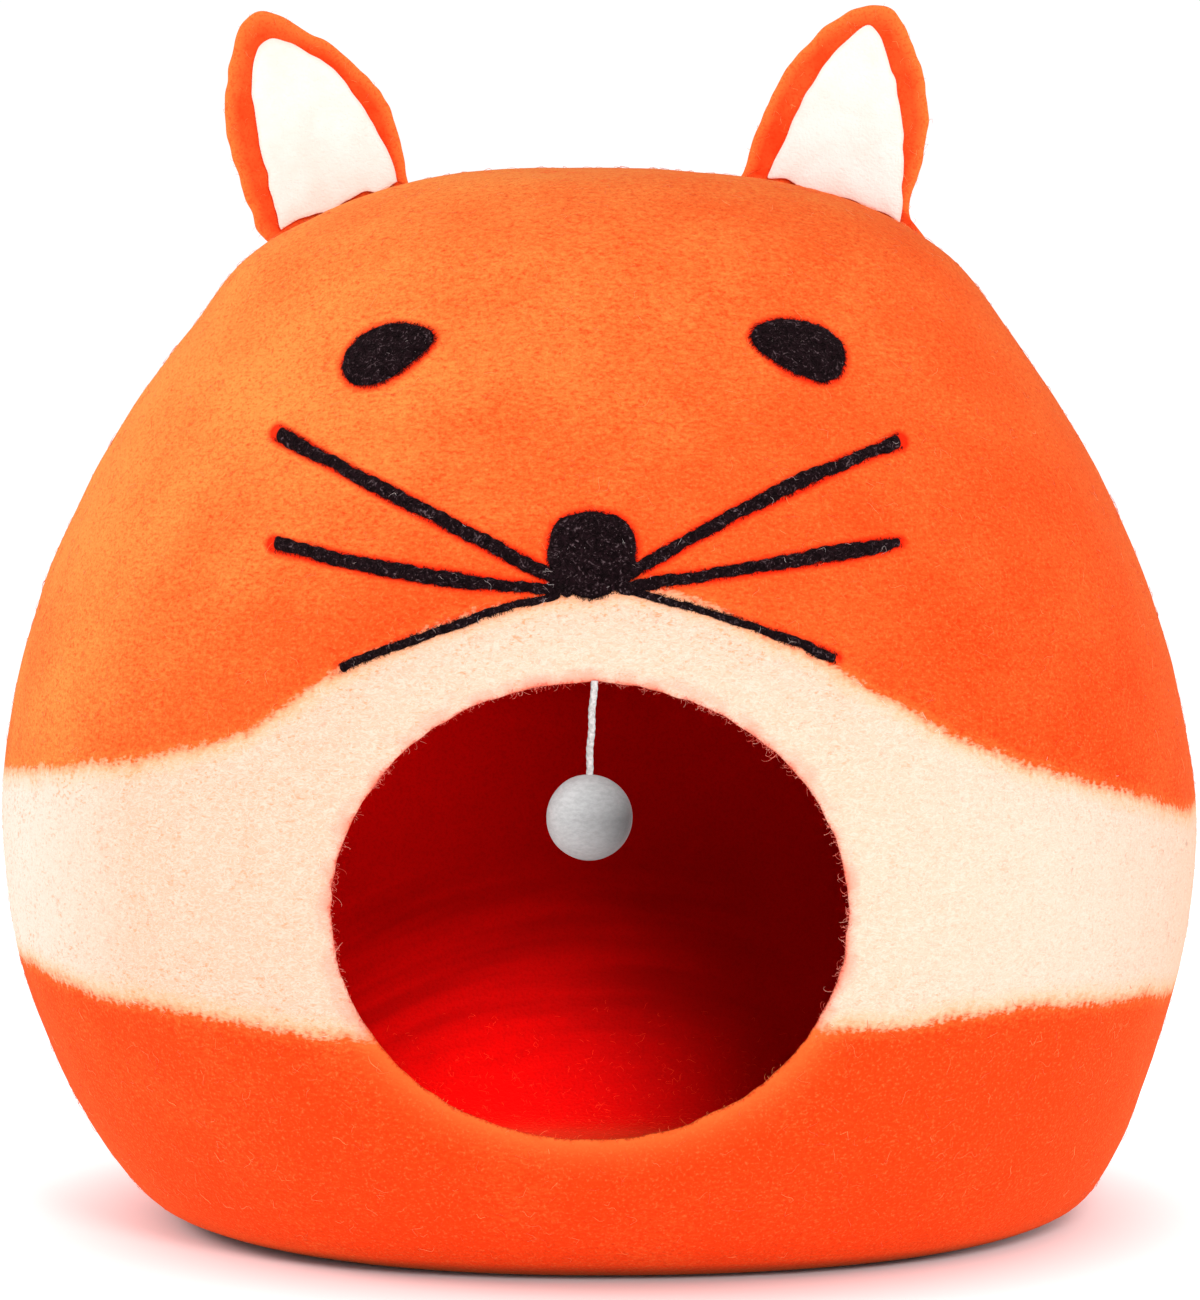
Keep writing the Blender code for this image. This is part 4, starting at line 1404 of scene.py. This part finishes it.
def fibre_material(name, dark, light, sheen=0.2):
    """Wool fibres from one tone to another, by each fibre's own number."""
    material, tree, shader = shaded(name)
    colour = mixed(tree, attribute_value(tree, "tone"), dark, light)
    tree.links.new(colour, shader.inputs["Base Color"])
    soft_finish(shader, sheen, (1.0, 0.8, 0.7))
    return material


def haze(name, paths, thickness, rng, material, slot_name, darkness=1.0):
    """A piece of many fibres, with thicknesses in millimetres and tones at random."""
    tones = rng.random(len(paths)) ** darkness
    piece = fibre_mesh(name, paths, rng.uniform(*thickness, len(paths)) * MM, tones, material)
    finish_piece(piece, slot_name)


# %% Fibres over the shell
off_ground = smooth_step(outer[..., 2], 6 * MM, 20 * MM)
on_band = smooth_step(inside_band(outer), -1.0 * MM, 3.0 * MM)

rng = np.random.default_rng(90)
orange_fibres = fibre_material("orange fibres", (0.92, 0.10, 0.016), (0.97, 0.36, 0.12))
paths = bowed_fibres(outer, off_ground * (1 - on_band), 4200, (3, 9), (0.2, 1.0), rng)
haze("orange_haze", paths, (0.10, 0.20), rng, orange_fibres, "orange_felt", darkness=2.4)

cream_fibres = fibre_material("cream fibres", (0.92, 0.58, 0.40), (0.95, 0.88, 0.78))
at_edge = np.exp(-((inside_band(outer) / (3.5 * MM)) ** 2))
paths = bowed_fibres(outer, off_ground * (on_band + 0.15 * at_edge), 4400, (1.8, 5), (0.15, 0.7), rng)
haze("cream_haze", paths, (0.07, 0.17), rng, cream_fibres, "cream_felt")

den_fibres = fibre_material("den fibres", (0.80, 0.006, 0.002), (0.93, 0.085, 0.025), sheen=0.05)
low_down = 1 - smooth_step(inner[..., 2], 12 * MM, 60 * MM)
far_back = smooth_step(inner[..., 1], 40 * MM, 90 * MM)
paths = bowed_fibres(inner, low_down * (0.06 + far_back), 2600, (2, 5), (0.2, 0.8), rng, way=-1)
haze("den_haze", paths, (0.10, 0.18), rng, den_fibres, "orange_felt")

for side, grid in ear_grids.items():
    paths = bowed_fibres(grid, np.ones(grid.shape[:2]), 340, (2, 6), (0.15, 0.7), rng)
    haze("ear_haze_" + side, paths, (0.10, 0.18), rng, orange_fibres, "orange_felt")

# %% [markdown]
# ## The lip's curls
#
# The mouth was cut, so fibre ends stand free all round its edge. Most are a millimetre or two long
# and fold back at once. Some longer ones curl into the dark, above all at the upper right.

# %% Curls along the lip
CURLS = 900
CURL_POINTS = 10
CLUSTERS = 22


def lip_curls(rng):
    """Paths that start on the lip and curl into the mouth."""
    upper = rng.random(CURLS) < 0.86
    angle = np.where(upper, rng.uniform(-0.35, np.pi + 0.35, CURLS), rng.uniform(-np.pi, 0, CURLS))
    clusters = rng.uniform(-0.5, np.pi + 0.2, CLUSTERS)
    near_cluster = clusters[rng.integers(0, CLUSTERS, CURLS)] + rng.normal(0, 0.025, CURLS)
    angle = np.where(rng.random(CURLS) < 0.4, near_cluster, angle)
    column = (angle / (2 * np.pi) * COLUMNS).astype(int) % COLUMNS
    root = lip[rng.integers(1, LIP_ROWS - 1, CURLS), column]
    inward = into_mouth[column]
    ridge = lip[LIP_ROWS // 2]
    around = unit(ridge[(column + 1) % COLUMNS] - ridge[column])
    deep = np.cross(inward, around)
    long_ones = (rng.random(CURLS) < 0.10) & (np.abs(angle - 0.25) < 0.75)
    length = np.where(long_ones, rng.uniform(1.6, 3.4, CURLS), 0.3 + rng.gamma(2.0, 0.42, CURLS))
    reach_out = length[:, None, None] * MM
    along = np.linspace(0, 1, CURL_POINTS)[None, :, None]
    start = rng.uniform(0, 2 * np.pi, (CURLS, 1, 1))
    swing = 2 * np.pi * rng.uniform(0.2, 0.9, (CURLS, 1, 1)) * along + start
    size = reach_out * rng.uniform(0.10, 0.35, (CURLS, 1, 1))
    lean = rng.uniform(-1.3, 1.3, (CURLS, 1, 1))
    out_and_back = reach_out * np.sin(np.pi * 0.62 * along)
    paths = (
        root[:, None]
        + inward[:, None] * (out_and_back + size * (np.cos(swing) - np.cos(start)))
        + around[:, None] * (lean * reach_out * along + size * (np.sin(swing) - np.sin(start)))
        + deep[:, None] * size * (np.cos(swing * 0.7) - np.cos(start * 0.7)) * 0.6
    )
    return paths, inside_band(root) > 0


rng = np.random.default_rng(95)
paths, pale = lip_curls(rng)
pink_fibres = fibre_material("pink fibres", (0.92, 0.085, 0.055), (0.97, 0.35, 0.27), sheen=0.02)
haze("pale_curls", paths[pale], (0.08, 0.16), rng, pink_fibres, "cream_felt")
haze("orange_curls", paths[~pale], (0.08, 0.15), rng, orange_fibres, "orange_felt")

# %% [markdown]
# ## Loose ends of the black wool
#
# The needle leaves short black ends across every outline, which is why the face looks drawn with a
# soft pencil. On top, a few pale hairs from the maker's other work lie caught in the black.

# %% Fibres on the face
def over_the_edge(places, out_ways, per_place, length, rng):
    """Short paths that start a little inside an outline and end outside it, close to the felt."""
    pick = rng.integers(0, len(places), per_place * len(places))
    count = len(pick)
    spin = rng.uniform(-1.1, 1.1, count)
    cos, sin = np.cos(spin), np.sin(spin)
    out = out_ways[pick]
    way = np.stack([out[:, 0] * cos - out[:, 1] * sin, out[:, 0] * sin + out[:, 1] * cos], axis=1)
    along = np.linspace(0, 1, FIBRE_POINTS)[None, :, None]
    reach_out = rng.uniform(*length, (count, 1, 1)) * MM
    curl = rng.uniform(-0.3, 0.3, (count, 1, 1)) * reach_out * np.sin(np.pi * along)
    side = np.stack([-way[:, 1], way[:, 0]], axis=1)[:, None]
    flat = (places[pick] - out * 0.7 * MM)[:, None] + way[:, None] * reach_out * along + side * curl
    lifted = rng.uniform(0.5, 1.1, (count, 1)) * MM * (1 - along[..., 0] ** 2) + 0.1 * MM
    return on_felt(flat, lifted)


rng = np.random.default_rng(100)
edge_paths, top_paths, pale_paths = [], [], []
for name, _, _, middle, thickness, _ in PADS:
    outline = pad_outlines[name]
    out_ways = unit(outline - np.array(middle) * MM)
    edge_paths.append(over_the_edge(outline, out_ways, 4, (1.0, 2.2), rng))
    shares = np.linspace(0.97, 0.1, 12)[:, None, None]
    flat = np.array(middle) * MM + (outline - np.array(middle) * MM) * shares
    grid = on_felt(flat, (thickness * MM * (1 - shares[..., 0] ** 6)) * np.ones(len(outline)))
    even = np.ones(grid.shape[:2])
    top_paths.append(bowed_fibres(grid, even, 300, (1.5, 4), (0.5, 1.2), rng, way=-1))
    pale_paths.append(bowed_fibres(grid, even, 9, (4, 9), (0.9, 1.5), rng, way=-1))
for whisker, grid in zip(WHISKERS, yarn_grids):
    path, half_width = whisker_path(whisker, np.linspace(0, 1, 70))
    ahead = unit(np.gradient(path, axis=0))
    for way in (-1, 1):
        side = np.stack([-ahead[:, 1], ahead[:, 0]], axis=1) * way
        edge_paths.append(over_the_edge(path + side * half_width[:, None], side, 3, (0.8, 1.8), rng))
    in_front = (outward(grid)[..., 1] < -0.2) + 0.01
    top_paths.append(bowed_fibres(grid, in_front, 90, (1.5, 4), (0.3, 0.6), rng))
    pale_paths.append(bowed_fibres(grid, in_front, 6, (2, 5), (0.4, 0.9), rng))

face_fibres = fibre_material("black fibres", (0.006, 0.003, 0.004), (0.035, 0.020, 0.023), sheen=0.02)
pale_fibres = fibre_material("pale hairs", (0.30, 0.21, 0.20), (0.66, 0.58, 0.57), sheen=0.1)
haze("black_edges", np.concatenate(edge_paths), (0.12, 0.24), rng, face_fibres, "black_felt", darkness=3.0)
haze("black_haze", np.concatenate(top_paths), (0.12, 0.24), rng, face_fibres, "black_felt", darkness=1.2)
haze("pale_hairs", np.concatenate(pale_paths), (0.12, 0.18), rng, pale_fibres, "black_felt")
